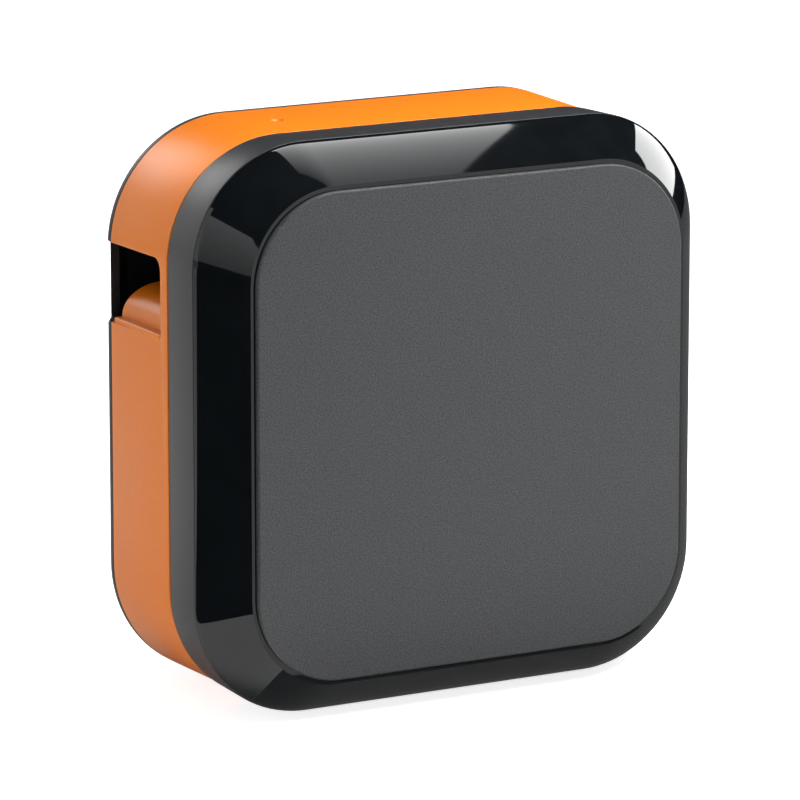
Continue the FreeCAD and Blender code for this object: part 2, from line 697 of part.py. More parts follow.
def chassis():
    """The moulded frame across the case: cassette on its back, gears on its front."""
    plate = slab(59.2, 22.4, CHASSIS_FRONT, CHASSIS_REAR)
    parts = [plate]
    parts += [rod(at, 3.0, CHASSIS_FRONT - 5, CHASSIS_FRONT + 0.5) for at in four(LUG_X, LUG_DZ)]
    parts += [rod(at, 2.5, -15.4, CHASSIS_FRONT + 0.5) for at in BOARD_POSTS]
    parts += [rod(at, STUD_R, GEAR_Y0 - 1, CHASSIS_FRONT + 0.5) for at in (DRIVE, IDLER)]
    parts += [pipe(at, STUD_R, 3.0, GEAR_Y1 + 0.1, CHASSIS_FRONT + 0.5) for at in (DRIVE, IDLER)]
    parts += [rod(at, 2.0, MOTOR_FACE + 0.1, CHASSIS_FRONT + 0.5) for at in motor_posts()]
    parts += [rod(at, 1.8, CHASSIS_REAR - 0.5, 3.0) for at in CASSETTE_POSTS]
    frame = fused(parts)
    for at in four(BOSS_AT, BOSS_AT):
        frame = frame.cut(rod(at, HOLE_R, CHASSIS_FRONT - 1, CHASSIS_REAR + 1))
    for at in four(LUG_X, LUG_DZ):
        frame = frame.cut(rod(at, SCREW_R - 0.1, CHASSIS_FRONT - 6, CHASSIS_REAR + 1))
    for at in BOARD_POSTS:
        frame = frame.cut(rod(at, 0.8, -16, -9))
    for at in motor_posts():
        frame = frame.cut(rod(at, 0.8, MOTOR_FACE, CHASSIS_FRONT))
    frame = frame.cut(slot_between(PLATEN, dropped_platen(), 2.4, CHASSIS_FRONT - 1, CHASSIS_REAR + 1))
    frame = frame.cut(rod(TAKE_UP, TAKE_UP_SHAFT_R + RUN, CHASSIS_FRONT - 1, CHASSIS_REAR + 1))
    frame = frame.cut(rod(HOLDER_PIVOT, STUD_R, CHASSIS_FRONT - 1, CHASSIS_REAR + 1))
    frame = frame.cut(box(-49.4, -45.1, CHASSIS_FRONT - 1, CHASSIS_REAR + 1, 92, 107))
    return frame.cut(box(-18, -15.8, CHASSIS_FRONT - 1, CHASSIS_REAR + 1, 106, 118))


def chassis_screws():
    return Part.makeCompound([screw(at, CHASSIS_REAR, 10) for at in four(BOSS_AT, BOSS_AT)])


def band_screws():
    return Part.makeCompound([screw(at, 0.5, 9) for at in four(LUG_X, LUG_DZ)])


def bezel_screws():
    return Part.makeCompound(
        [screw(at, TRAY_FLOOR, 8.5) for at in four(BEZEL_SCREW_X, BEZEL_SCREW_DZ)])


# ---------------------------------------------------------------- drive train

DRIVE_TOOTH = 0.0
IDLER_TOOTH = meshing(DRIVE_TOOTH, DRIVE_TEETH, IDLER_TEETH, IDLER_ANGLE)
TAKE_UP_TOOTH = meshing(IDLER_TOOTH, IDLER_TEETH, TAKE_UP_TEETH, TAKE_UP_ANGLE)
MOTOR_TOOTH = meshing(IDLER_TOOTH, IDLER_TEETH, MOTOR_TEETH, MOTOR_ANGLE)
PLATEN_TOOTH = meshing(DRIVE_TOOTH, DRIVE_TEETH, PLATEN_TEETH, -90)


def drive_motor():
    """The feed motor: a steel can with a boss and two ears to screw it down."""
    can = rod(MOTOR, MOTOR_CAN_R - 0.4, MOTOR_FACE - 17.5, MOTOR_FACE - 1.5)
    flange = rod(MOTOR, MOTOR_CAN_R, MOTOR_FACE - 1.5, MOTOR_FACE)
    boss = rod(MOTOR, 3.0, MOTOR_FACE, MOTOR_FACE + 0.8)
    motor = fused([can, flange, boss])
    motor = motor.cut(rod(MOTOR, 1.0 + RUN, MOTOR_FACE - 18, MOTOR_FACE + 1))
    for at in motor_posts():
        motor = motor.cut(rod(at, 1.0, MOTOR_FACE - 3, MOTOR_FACE + 1))
    return motor


def motor_pinion():
    """The brass pinion with the motor's shaft."""
    toothed = gear(MOTOR, MOTOR_TEETH, MOTOR_TOOTH, 1.0)
    return fused([toothed, rod(MOTOR, 1.0, -26, GEAR_Y1)])


def idler_gear():
    return gear(IDLER, IDLER_TEETH, IDLER_TOOTH, STUD_R + RUN)


def drive_gear():
    return gear(DRIVE, DRIVE_TEETH, DRIVE_TOOTH, STUD_R + RUN)


def take_up_gear():
    return gear(TAKE_UP, TAKE_UP_TEETH, TAKE_UP_TOOTH, TAKE_UP_SHAFT_R)


def take_up_shaft():
    return rod(TAKE_UP, TAKE_UP_SHAFT_R, GEAR_Y0 - 0.5, 20.0)


def platen_gear():
    return gear(PLATEN, PLATEN_TEETH, PLATEN_TOOTH, STUD_R)


def platen_shaft():
    return rod(PLATEN, STUD_R, GEAR_Y0 - 0.5, TAPE_Y1 + 2.0)


def platen_roller():
    """The rubber roller that presses the tape on the print head."""
    return pipe(PLATEN, STUD_R, PLATEN_R - 0.05, TAPE_Y0 + 0.2, TAPE_Y1 - 0.2)


def roller_holder():
    """The swinging frame that carries the platen: two cheeks and a bridge."""
    cheeks = []
    for y0, y1 in ((TAPE_Y0 - 1.6, TAPE_Y0 - 0.2), (TAPE_Y1 + 0.1, TAPE_Y1 + 1.7)):
        cheeks.append(slot_between(HOLDER_PIVOT, PLATEN, 3.6, y0, y1))
    bridge = box(-24, -19, TAPE_Y0 - 1.6, TAPE_Y1 + 1.7, 81.5, 84.0)
    frame = fused(cheeks + [bridge])
    for at in (HOLDER_PIVOT, PLATEN):
        frame = frame.cut(rod(at, STUD_R + RUN, TAPE_Y0 - 3, TAPE_Y1 + 4))
    return frame


def holder_shaft():
    return rod(HOLDER_PIVOT, STUD_R, CHASSIS_FRONT, TAPE_Y1 + 2.4)


def holder_spring():
    """The torsion spring round the holder's shaft."""
    return coil(HOLDER_PIVOT, 6.0, 5, 1.3, 2.5, 0.35)


# ---------------------------------------------------------------- print head and cutter

def print_head():
    """The ceramic thermal head over the platen."""
    z0 = TAPE_Z + TAPE_THICK / 2 + 0.1
    return box(PLATEN[0] - 4, PLATEN[0] + 4, TAPE_Y0, TAPE_Y1, z0, z0 + 1.2)


def heat_sink():
    """The finned aluminium block that backs the head, footed on the chassis."""
    z0 = TAPE_Z + TAPE_THICK / 2 + 1.3
    parts = [box(PLATEN[0] - 6, PLATEN[0] + 6, CHASSIS_REAR, TAPE_Y1, z0, z0 + 2)]
    for n in range(4):
        x = PLATEN[0] - 5.5 + 3 * n
        parts.append(box(x, x + 1.4, CHASSIS_REAR, TAPE_Y1, z0 + 1.5, z0 + 7))
    return fused(parts)


def head_cable():
    """The flat cable from the head through the chassis and down to the main board."""
    x, thick = -17.0, 0.3
    tab = box(-34, -30, 14, 14 + thick, 104, 112)
    across = box(-34, x + thick, 14, 14 + thick, 107, 117)
    through = box(x, x + thick, -17.8, 14 + thick, 107, 117)
    down = box(x, x + thick, -17.8, -12, 86, 117)
    to_board = box(x, 1, -17.8, -17.8 + thick, 86, 94)
    return fused([tab, across, through, down, to_board])


def cutter_frame():
    """The bracket that holds the fixed blade and guides the moving one."""
    low = box(-45.3, -43.8, CHASSIS_REAR, TAPE_Y1, 80, TAPE_Z - 1.0)
    guide = box(-49.2, -46.75, CHASSIS_REAR, TAPE_Y1, 107.6, 109.5)
    back = box(-49.2, -43.8, TAPE_Y1 + 0.3, TAPE_Y1 + 1.8, 80, 109.5)
    foot = box(-49.2, -46.75, TAPE_Y1 - 1, TAPE_Y1 + 1.8, 107.6, 109.5)
    link = box(-45.3, -43.8, TAPE_Y1 - 1, TAPE_Y1 + 1.8, 80, TAPE_Z - 1.0)
    return fused([low, back, guide, foot, link])


def fixed_blade():
    return box(-45.9, -45.3, TAPE_Y0, TAPE_Y1, 84, TAPE_Z - 0.3)


def moving_blade():
    """The cutting blade, its lower edge slanted so that it shears the tape."""
    x0, x1 = BLADE_X, BLADE_X + BLADE_THICK
    low, high = TAPE_Z + 0.9, TAPE_Z + 2.9
    corners = [(TAPE_Y0, low), (TAPE_Y1, high), (TAPE_Y1, 107.0), (TAPE_Y0, 107.0)]
    points = [Vector(x0, y, z) for y, z in corners]
    return Part.Face(Part.makePolygon(points + points[:1])).extrude(Vector(x1 - x0, 0, 0))


def cutter_carriage():
    """The slide that carries the blade, with the rack that the cutter gear drives."""
    pitch = math.pi * MODULE
    neck = box(-48.6, BLADE_X, GEAR_Y0 + 0.2, TAPE_Y0 + 3, 99.6, 106.5)
    low, high = CUTTER_GEAR[1] - 4.0, CUTTER_GEAR[1] + 9.8
    bar = box(RACK_X + DEDENDUM, -45.8, GEAR_Y0, GEAR_Y1, low, high)
    lean = math.tan(PRESSURE)
    half = (pitch / 2 - BACKLASH) / 2
    teeth = []
    for n in range(-1, 4):
        z = CUTTER_GEAR[1] + n * pitch
        root, tip = RACK_X + DEDENDUM + 0.2, RACK_X - ADDENDUM
        wide = half + (root - RACK_X) * lean
        thin = half - ADDENDUM * lean
        corners = [(root, z - wide), (tip, z - thin), (tip, z + thin), (root, z + wide)]
        points = [Vector(x, GEAR_Y0, at) for x, at in corners]
        tooth = Part.Face(Part.makePolygon(points + points[:1]))
        teeth.append(tooth.extrude(Vector(0, GEAR_Y1 - GEAR_Y0, 0)))
    return fused([neck, bar] + teeth)


def cutter_gear():
    """The small gear on the cutter motor's shaft; a gap of it faces the rack."""
    toothed = gear(CUTTER_GEAR, CUTTER_TEETH, 180 / CUTTER_TEETH, 1.0)
    return fused([toothed, rod(CUTTER_GEAR, 1.0, -17.5, GEAR_Y1)])


def cutter_motor():
    """The small geared motor of the cutter, held against the tray."""
    can = rod(CUTTER_GEAR, 4.6, -18.9, GEAR_Y0 - 0.6)
    return can.cut(rod(CUTTER_GEAR, 1.0 + RUN, -18, -9))


# ---------------------------------------------------------------- power and boards

def battery_pack():
    """The built-in rechargeable pack, low in the case to keep it steady."""
    return rounded_box((-36, 36), (-29.8, -12), (26.5, 55.5), 4, ALONG_X)


def battery_contacts():
    """Three leaf contacts between the pack and the main board."""
    leaves = []
    for x in (14, 20, 26):
        leg = box(x, x + 2, -18.6, -18.2, 55.5, 60.5)
        foot = box(x, x + 2, -18.6, -17.0, 58.5, 60.5)
        leaves.append(fused([leg, foot]))
    return Part.makeCompound(leaves)


def main_board():
    """The main circuit board on four posts of the chassis."""
    board = rounded_box((-2, 52), (-17, -15.4), (56.5, 95.5), 2, ALONG_Y)
    for at in BOARD_POSTS:
        board = board.cut(rod(at, 1.3, -18, -15))
    return board


def board_screws():
    screws = []
    for x, z in BOARD_POSTS:
        shank = rod((x, z), 0.8, -17, -10)
        head = rod((x, z), 1.9, -18.2, -17)
        screws.append(fused([shank, head]))
    return Part.makeCompound(screws)


def board_parts():
    """Processor, radio module, converter coil and capacitors on the board."""
    y = -17
    parts = [
        box(20, 32, y - 1.2, y, 70, 82),
        box(34, 46, y - 2.0, y, 66, 84),
        box(6, 14, y - 3.2, y, 66, 74),
        box(36, 42, y - 1.0, y, 87, 91),
    ]
    parts += [rod((8 + 5 * n, 82.0), 2.0, y - 4.5, y) for n in range(2)]
    return Part.makeCompound(parts)


# ---------------------------------------------------------------- tape cassette

def cassette_case():
    """The tape cassette's tray: walls, posts, and a slit where the tape leaves."""
    t = CASSETTE_WALL
    x, y, z = CASSETTE_X, CASSETTE_Y, CASSETTE_Z
    y_top = y[1] - t
    case = rounded_box(x, (y[0], y_top), z, 4, ALONG_Y)
    inside = rounded_box(
        (x[0] + t, x[1] - t), (y[0] + t, y_top + 1), (z[0] + t, z[1] - t), 3, ALONG_Y)
    case = case.cut(inside)
    posts = [rod(ROLL, ROLL_POST_R, y[0] + 0.5, 22), rod(RIBBON, RIBBON_POST_R, y[0] + 0.5, 22)]
    sockets = [rod(at, 3.4, y[0] + 0.5, 5.0) for at in CASSETTE_POSTS]
    guide = rod((-4.0, TAPE_Z - TAPE_THICK / 2 - 1.6), 1.5, y[0] + 0.5, TAPE_Y1)
    case = fused([case] + posts + sockets + [guide])
    for at in CASSETTE_POSTS:
        case = case.cut(rod(at, 1.8 + FIT, y[0] - 1, 3.4))
    case = case.cut(rod(TAKE_UP, 3.4, y[0] - 1, y[0] + t + 0.1))
    slit = box(x[0] - 1, x[0] + t + 1, TAPE_Y0 - 0.2, TAPE_Y1 + 0.2, TAPE_Z - 0.8, TAPE_Z + 0.8)
    return case.cut(slit)


def cassette_lid():
    """The cassette's lid, with a window to read its tape through."""
    y = (CASSETTE_Y[1] - CASSETTE_WALL, CASSETTE_Y[1])
    lid = rounded_box(CASSETTE_X, y, CASSETTE_Z, 4, ALONG_Y)
    return lid.cut(rod(ROLL, CORE_R - 2, y[0] - 1, y[1] + 1))


def tape_core():
    return pipe(ROLL, ROLL_POST_R + RUN, CORE_R, TAPE_Y0, TAPE_Y1)


def label_roll():
    """The label tape wound on its core."""
    return pipe(ROLL, CORE_R, ROLL_R, TAPE_Y0, TAPE_Y1)


def label_leader():
    """The tape from the roll, round the guide and up to the cutter, where it was cut."""
    bend = (-4.0, TAPE_Z)
    tangent = (ROLL[0] - 3.2, ROLL[1] + ROLL_R + 0.15)
    points = [(-45.9, TAPE_Z - TAPE_THICK / 2), (bend[0], bend[1] - TAPE_THICK / 2)]
    points.append((tangent[0], tangent[1] - TAPE_THICK / 2))
    upper = [(x, z + TAPE_THICK) for x, z in reversed(points)]
    corners = [Vector(x, TAPE_Y0, z) for x, z in points + upper]
    return Part.Face(Part.makePolygon(corners + corners[:1])).extrude(Vector(0, TAPE_WIDTH, 0))


def ribbon_spool():
    return pipe(RIBBON, RIBBON_POST_R + RUN, RIBBON_R, TAPE_Y0, TAPE_Y1)


def take_up_spool():
    """The spool that winds up the used ribbon."""
    return pipe(TAKE_UP, TAKE_UP_SHAFT_R, TAKE_UP_R, TAPE_Y0, TAPE_Y1)


NODES = [
    front_plate, front_bezel, front_shell, side_band, exit_ramp, exit_hood,
    rubber_feet, back_cover, cover_window, cover_latch, hinge_pins,
    power_button, feed_button, light_pipes, switch_board, key_switches, usb_socket,
    chassis, chassis_screws, band_screws, bezel_screws,
    drive_motor, motor_pinion, idler_gear, drive_gear, take_up_gear, take_up_shaft,
    platen_gear, platen_shaft, platen_roller, roller_holder, holder_shaft, holder_spring,
    print_head, heat_sink, head_cable,
    cutter_frame, fixed_blade, moving_blade, cutter_carriage, cutter_gear, cutter_motor,
    battery_pack, battery_contacts, main_board, board_screws, board_parts,
    cassette_case, cassette_lid, tape_core, label_roll, label_leader, ribbon_spool,
    take_up_spool,
]


def main():
    os.makedirs("parts", exist_ok=True)
    for make in NODES:
        shape = make()
        box_of = shape.BoundBox
        print("%-18s solids %d valid %s volume %8.0f  x %6.1f %6.1f  y %6.1f %6.1f  z %6.1f %6.1f" % (
            make.__name__, len(shape.Solids), shape.isValid(), shape.Volume,
            box_of.XMin, box_of.XMax, box_of.YMin, box_of.YMax, box_of.ZMin, box_of.ZMax))
        shape.exportStep("parts/%s.step" % make.__name__)


main()
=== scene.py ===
# %% [markdown]
# # A desktop label maker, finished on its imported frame
# The frame brings every working part of the machine, each in its true place and
# on the body that it moves with. What the eye meets first is the case: a grained
# plate, a gloss frame, a satin shell, a coloured band and a back cover. Those
# are modelled again here with soft edges; the parts inside only get a finish.

# %% Load the frame
import json
import math

import bmesh
import bpy
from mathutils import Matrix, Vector


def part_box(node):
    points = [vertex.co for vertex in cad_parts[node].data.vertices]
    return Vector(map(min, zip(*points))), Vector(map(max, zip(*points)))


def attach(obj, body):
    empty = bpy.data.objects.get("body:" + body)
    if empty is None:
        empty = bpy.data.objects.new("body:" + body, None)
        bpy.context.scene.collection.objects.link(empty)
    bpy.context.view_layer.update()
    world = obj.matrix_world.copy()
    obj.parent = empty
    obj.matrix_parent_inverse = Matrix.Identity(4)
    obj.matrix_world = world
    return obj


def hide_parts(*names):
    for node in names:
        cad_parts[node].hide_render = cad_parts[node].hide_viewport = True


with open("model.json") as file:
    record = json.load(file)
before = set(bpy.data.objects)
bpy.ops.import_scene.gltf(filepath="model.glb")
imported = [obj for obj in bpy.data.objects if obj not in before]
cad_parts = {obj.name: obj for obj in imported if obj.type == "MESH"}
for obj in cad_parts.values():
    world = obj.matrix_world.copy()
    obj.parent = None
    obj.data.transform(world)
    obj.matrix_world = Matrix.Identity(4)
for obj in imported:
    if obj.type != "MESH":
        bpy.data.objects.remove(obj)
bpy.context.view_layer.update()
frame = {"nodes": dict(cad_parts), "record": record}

# %% [markdown]
# ## Sizes
# The case is a stack of upright rounded squares. Each has a half width, a corner
# radius and a depth, and is a little taller than it is wide. The places of the
# joints between the pieces are read from the frame, so the new pieces meet as
# the old ones did. Lengths below are millimetres; MM turns them to metres.

# %% Read the places of the case's pieces
MM = 0.001
band_low, band_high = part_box("side_band")
shell_low, shell_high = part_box("front_shell")
plate_low, plate_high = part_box("front_plate")
bezel_low, bezel_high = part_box("front_bezel")
cover_low, cover_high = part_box("back_cover")

HALF = band_high.x / MM
TALLER = 1.1
MID_Z = (band_low.z + band_high.z) / 2 / MM
RIM_Y = 19.5
BAND_FRONT_Y = band_low.y / MM
SHELL_REAR_Y = -8.2
GLOSS_Y = shell_low.y / MM
SEAT_Y = bezel_low.y / MM
FRONT_Y = plate_low.y / MM
BACK_Y = cover_high.y / MM
RIM_END_Y = RIM_Y + 1.5
CORNER = 28.7
FRONT_CORNER = 27.7
SHELL_HALF, SHELL_CORNER = 63.5, 27.2
GLOSS_HALF, GLOSS_CORNER = 63.9, 27.5
PLATE_HALF, PLATE_CORNER = plate_high.x / MM, 20.6
WALL = 2.0
SET_BACK = 0.05
print("band", BAND_FRONT_Y, RIM_Y, "gloss from", GLOSS_Y, "to", SEAT_Y, "middle", MID_Z)

# %% [markdown]
# ## Camera
# A long lens a good metre away, a little to the left and above, keeps the case's
# edges nearly parallel, as for a product picture in a shop window.

# %% Place the camera
camera_data = bpy.data.cameras.new("long_lens")
camera_data.lens = 264.98
camera_data.sensor_width = 36
camera = bpy.data.objects.new("camera", camera_data)
camera.location = (-0.636443, -1.149186, 0.356652)
camera.rotation_euler = (math.radians(90 - 12.55341), 0, math.radians(-28.96842))
bpy.context.scene.collection.objects.link(camera)
bpy.context.scene.camera = camera
print("camera is", round(camera.location.length, 3), "m from the origin")

# %% [markdown]
# ## Helpers for modelling
# One piece of the case is a loft: upright rounded squares, joined one to the
# next. Each outline starts as a plane at its size and place. Beveling the plane's
# four corner points makes them round, and the bridge tool joins outlines, which
# keeps the corners exact where scaling an extrusion would squash them. Bridge
# can't line up two outlines that share one centre, so where an end face is
# flat, its inner outline is set back by a twentieth of a millimetre.

# %% Start and end a piece
def leave_edit():
    if bpy.context.mode != "OBJECT":
        bpy.ops.object.mode_set(mode="OBJECT")


def take(piece):
    """Makes one object the only selected and active one."""
    leave_edit()
    bpy.ops.object.select_all(action="DESELECT")
    piece.select_set(True)
    bpy.context.view_layer.objects.active = piece


def settle(name, angle=32):
    """Names the piece being made, puts its place in its mesh and shades it."""
    leave_edit()
    piece = bpy.context.object
    take(piece)
    piece.name = name
    piece.data.name = name
    bpy.ops.object.transform_apply(location=True, rotation=True, scale=True)
    bpy.ops.object.shade_smooth_by_angle(angle=math.radians(angle))
    return piece


def outward(piece):
    """Turns all faces outwards."""
    take(piece)
    bpy.ops.object.mode_set(mode="EDIT")
    bpy.ops.mesh.select_all(action="SELECT")
    bpy.ops.mesh.remove_doubles(threshold=1e-7)
    bpy.ops.mesh.normals_make_consistent(inside=False)
    leave_edit()


# %% Loft rounded squares
CORNER_STEPS = 24
PER_OUTLINE = 4 * (CORNER_STEPS + 1)


def add_outline(half, corner, y):
    """Adds one upright rounded square of edges, and leaves it selected."""
    place = (0, y * MM, MID_Z * MM)
    first = bpy.context.mode == "OBJECT"
    if first:
        bpy.ops.object.select_all(action="DESELECT")
    bpy.ops.mesh.primitive_plane_add(size=2 * half * MM, location=place, rotation=(math.pi / 2, 0, 0))
    if first:
        bpy.ops.object.transform_apply(location=True, rotation=True, scale=True)
        bpy.ops.object.mode_set(mode="EDIT")
        bpy.ops.mesh.select_all(action="SELECT")
    bpy.ops.transform.resize(value=(1, 1, (half + TALLER) / half), center_override=place)
    bpy.ops.mesh.bevel(offset=corner * MM, segments=CORNER_STEPS, affect="VERTICES")
    bpy.ops.mesh.delete(type="ONLY_FACE")


def pick_outlines(numbers):
    """Selects only the edges of some outlines, by their number in the loft."""
    bm = bmesh.from_edit_mesh(bpy.context.object.data)
    bm.verts.ensure_lookup_table()
    for vert in bm.verts:
        vert.select = False
    bm.select_flush(False)
    for edge in bm.edges:
        rings = {vert.index // PER_OUTLINE for vert in edge.verts}
        edge.select = len(rings) == 1 and rings <= set(numbers)
    bmesh.update_edit_mesh(bpy.context.object.data)


def loft(name, outlines, capped=True, angle=32):
    """Joins outlines of half width, corner radius and depth; ends are capped or joined."""
    for outline in outlines:
        add_outline(*outline)
    bpy.ops.mesh.select_mode(type="EDGE")
    last = len(outlines) - 1
    for number in range(last):
        pick_outlines((number, number + 1))
        bpy.ops.mesh.bridge_edge_loops()
    if capped:
        for number in (0, last):
            pick_outlines((number,))
            bpy.ops.mesh.edge_face_add()
    else:
        pick_outlines((last, 0))
        bpy.ops.mesh.bridge_edge_loops()
    bpy.ops.mesh.select_all(action="SELECT")
    bpy.ops.mesh.normals_make_consistent(inside=False)
    piece = settle(name, angle)
    print(name, "outlines", len(outlines), "faces", len(piece.data.polygons))
    return piece


def soften_profile(points, steps=4):
    """Rounds the edges of a profile; a point is half, corner radius, depth, rounding."""
    rings = []
    for number, (half, corner, y, rounding) in enumerate(points):
        if not rounding:
            rings.append((half, corner, y))
            continue
        here = Vector((half, y))
        before = points[number - 1]
        after = points[(number + 1) % len(points)]
        to_before = (Vector((before[0], before[2])) - here).normalized()
        to_after = (Vector((after[0], after[2])) - here).normalized()
        opening = to_before.angle(to_after)
        centre = here + (to_before + to_after).normalized() * rounding / math.sin(opening / 2)
        start = here + to_before * rounding / math.tan(opening / 2) - centre
        end = here + to_after * rounding / math.tan(opening / 2) - centre
        for step in range(steps + 1):
            spot = centre + start.slerp(end, step / steps) * rounding
            rings.append((spot.x, corner + spot.x - half, spot.y))
    return rings


# %% Cut, join and soften
def cut(piece, cutters, operation="DIFFERENCE"):
    """Takes cutters away from a piece, or joins them to it, one after the other."""
    for cutter in cutters:
        take(piece)
        change = piece.modifiers.new("cut", "BOOLEAN")
        change.operation = operation
        change.solver = "EXACT"
        change.object = cutter
        bpy.ops.object.modifier_apply(modifier=change.name)
        bpy.data.objects.remove(cutter)
    return piece


def soften(piece, inside, width, segments=3, sharper=40):
    """Bevels the sharp edges whose middles, in mm, lie where the function says."""
    take(piece)
    bpy.ops.object.mode_set(mode="EDIT")
    bpy.ops.mesh.select_mode(type="EDGE")
    bpy.ops.mesh.select_all(action="DESELECT")
    bm = bmesh.from_edit_mesh(piece.data)
    count = 0
    for edge in bm.edges:
        if len(edge.link_faces) != 2 or edge.calc_face_angle() < math.radians(sharper):
            continue
        middle = (edge.verts[0].co + edge.verts[1].co) / 2 / MM
        if inside(middle):
            edge.select = True
            count += 1
    bmesh.update_edit_mesh(piece.data)
    if count:
        bpy.ops.mesh.bevel(offset=width * MM, segments=segments, affect="EDGES")
    leave_edit()
    return count


def block(x, y, z, rounding=0.0, along=None, segments=4):
    """A box between pairs of mm, its edges rounded, all or those along one axis."""
    leave_edit()
    bpy.ops.object.select_all(action="DESELECT")
    low = Vector((x[0], y[0], z[0])) * MM
    high = Vector((x[1], y[1], z[1])) * MM
    bpy.ops.mesh.primitive_cube_add(size=1, location=(low + high) / 2, scale=high - low)
    bpy.ops.object.transform_apply(location=True, rotation=True, scale=True)
    piece = bpy.context.object
    if rounding:
        bpy.ops.object.mode_set(mode="EDIT")
        bpy.ops.mesh.select_mode(type="EDGE")
        bpy.ops.mesh.select_all(action="DESELECT")
        bm = bmesh.from_edit_mesh(piece.data)
        for edge in bm.edges:
            run = (edge.verts[0].co - edge.verts[1].co).normalized()
            edge.select = along is None or abs(run["xyz".index(along)]) > 0.99
        bmesh.update_edit_mesh(piece.data)
        bpy.ops.mesh.bevel(offset=rounding * MM, segments=segments, affect="EDGES")
        leave_edit()
    return piece


def bar(centre, radius, low, high, along="z", steps=48):
    """A round bar; centre gives the other two axes in order."""
    leave_edit()
    bpy.ops.object.select_all(action="DESELECT")
    middle = (low + high) / 2
    if along == "z":
        place, turn = (centre[0], centre[1], middle), (0, 0, 0)
    elif along == "x":
        place, turn = (middle, centre[0], centre[1]), (0, math.pi / 2, 0)
    else:
        place, turn = (centre[0], middle, centre[1]), (math.pi / 2, 0, 0)
    place = Vector(place) * MM
    bpy.ops.mesh.primitive_cylinder_add(
        vertices=steps, radius=radius * MM, depth=(high - low) * MM, location=place, rotation=turn)
    bpy.ops.object.transform_apply(location=True, rotation=True, scale=True)
    return bpy.context.object


def join(pieces):
    """Makes several objects one; each stays a closed shell of its own."""
    take(pieces[0])
    for piece in pieces[1:]:
        piece.select_set(True)
    bpy.ops.object.join()
    return bpy.context.object


def finish_piece(piece, name, body, nodes, angle=32):
    """Shades a piece, hangs it on the body it rides on and hides the frame's parts it stands for."""
    take(piece)
    piece.name = name
    piece.data.name = name
    bpy.ops.object.shade_smooth_by_angle(angle=math.radians(angle))
    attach(piece, body)
    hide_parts(*nodes)
    print(name, "faces", len(piece.data.polygons), "on", body)
    return piece


# %% [markdown]
# ## The front plate
# A thin moulded sheet, spark-textured on its face and a little polished where
# its edge turns back. A loft of three outlines with a half-millimetre rounding
# gives the edge that catches the light all round.

# %% Model the front plate
plate = loft("front_plate_skin", soften_profile([
    (PLATE_HALF - 3, PLATE_CORNER - 3, FRONT_Y, 0),
    (PLATE_HALF, PLATE_CORNER, FRONT_Y, 0.55),
    (PLATE_HALF, PLATE_CORNER, SEAT_Y, 0),
])[1:])
finish_piece(plate, "front_plate_skin", "root", ["front_plate"], 60)

# %% [markdown]
# ## The gloss bezel
# The frame round the plate is injection moulded in a polished tool, and bows
# outward a little as it slopes back. The outlines are set close together along
# that bow, because every facet would show in its reflections.

# %% Model the bezel
BEZEL_RUN = GLOSS_Y - FRONT_Y
BEZEL_IN, BEZEL_CORNER_IN, BEZEL_BOW = 9.63, 6.9, 1.21


def bezel_outline(y, inset=0.0):
    bow = ((GLOSS_Y - y) / BEZEL_RUN) ** BEZEL_BOW
    return (GLOSS_HALF - BEZEL_IN * bow - inset, GLOSS_CORNER - BEZEL_CORNER_IN * bow - inset, y)


BOW_STEPS = 14
slope = [bezel_outline(SEAT_Y + (GLOSS_Y - 0.35 - SEAT_Y) * n / BOW_STEPS) for n in range(BOW_STEPS + 1)]
rear_edge = [(GLOSS_HALF - 0.12, GLOSS_CORNER - 0.12, GLOSS_Y - 0.12),
             (GLOSS_HALF - 0.30, GLOSS_CORNER - 0.30, GLOSS_Y)]
inner = [(GLOSS_HALF - 2.4, GLOSS_CORNER - 2.4, GLOSS_Y - SET_BACK), bezel_outline(SEAT_Y + WALL, 2.4)]
bezel = loft("gloss_bezel", slope + rear_edge + inner)
finish_piece(bezel, "gloss_bezel", "root", ["front_bezel"], 40)

# %% [markdown]
# ## The satin shell
# Behind the bezel a shallow tray carries motor and boards. Only its rim shows,
# with soft edges on both sides, and a tongue that closes the groove before the
# coloured band. Its floor is cut open for the battery.

# %% Model the shell
TRAY_FLOOR = -19.2
TONGUE_REAR = -4.7
shell = loft("satin_shell", soften_profile([
    (GLOSS_HALF - 3, GLOSS_CORNER - 3, GLOSS_Y, 0),
    (GLOSS_HALF, GLOSS_CORNER, GLOSS_Y, 0.3),
    (SHELL_HALF, SHELL_CORNER, SHELL_REAR_Y, 0.35),
    (61.2, SHELL_CORNER - 2.3, SHELL_REAR_Y - SET_BACK, 0),
    (61.2, SHELL_CORNER - 2.3, TONGUE_REAR, 0),
    (59.6, SHELL_CORNER - 3.9, TONGUE_REAR - SET_BACK, 0),
    (59.6, SHELL_CORNER - 3.9, -12.2, 0),
    (61.5, SHELL_CORNER - 2, -12.6, 0),
    (61.7, SHELL_CORNER - 1.8, TRAY_FLOOR, 0),
])[1:])
opening = block((-40, 40), (GLOSS_Y - 2, TRAY_FLOOR + 2), (MID_Z - 40, MID_Z + 40), 6, "y")
cut(shell, [opening])
finish_piece(shell, "satin_shell", "root", ["front_shell"])

# %% [markdown]
# ## The coloured band
# The band is one moulding, open front and back, in through-coloured plastic. It
# carries the tape window on the left and the controls on the right. The rounded
# edge at its front draws the thin bright line next to the dark groove. Openings
# are cut with solid tools and their rims are then beveled, as a toolmaker breaks
# an edge.

# %% Model the band's wall
band = loft("side_band_wall", soften_profile([
    (HALF - 0.6, FRONT_CORNER, BAND_FRONT_Y, 0.25),
    (HALF, CORNER, RIM_Y, 0.25),
    (HALF - WALL, CORNER - WALL, RIM_Y - SET_BACK, 0),
    (HALF - 0.6 - WALL, FRONT_CORNER - WALL, BAND_FRONT_Y + SET_BACK, 0),
]), capped=False)

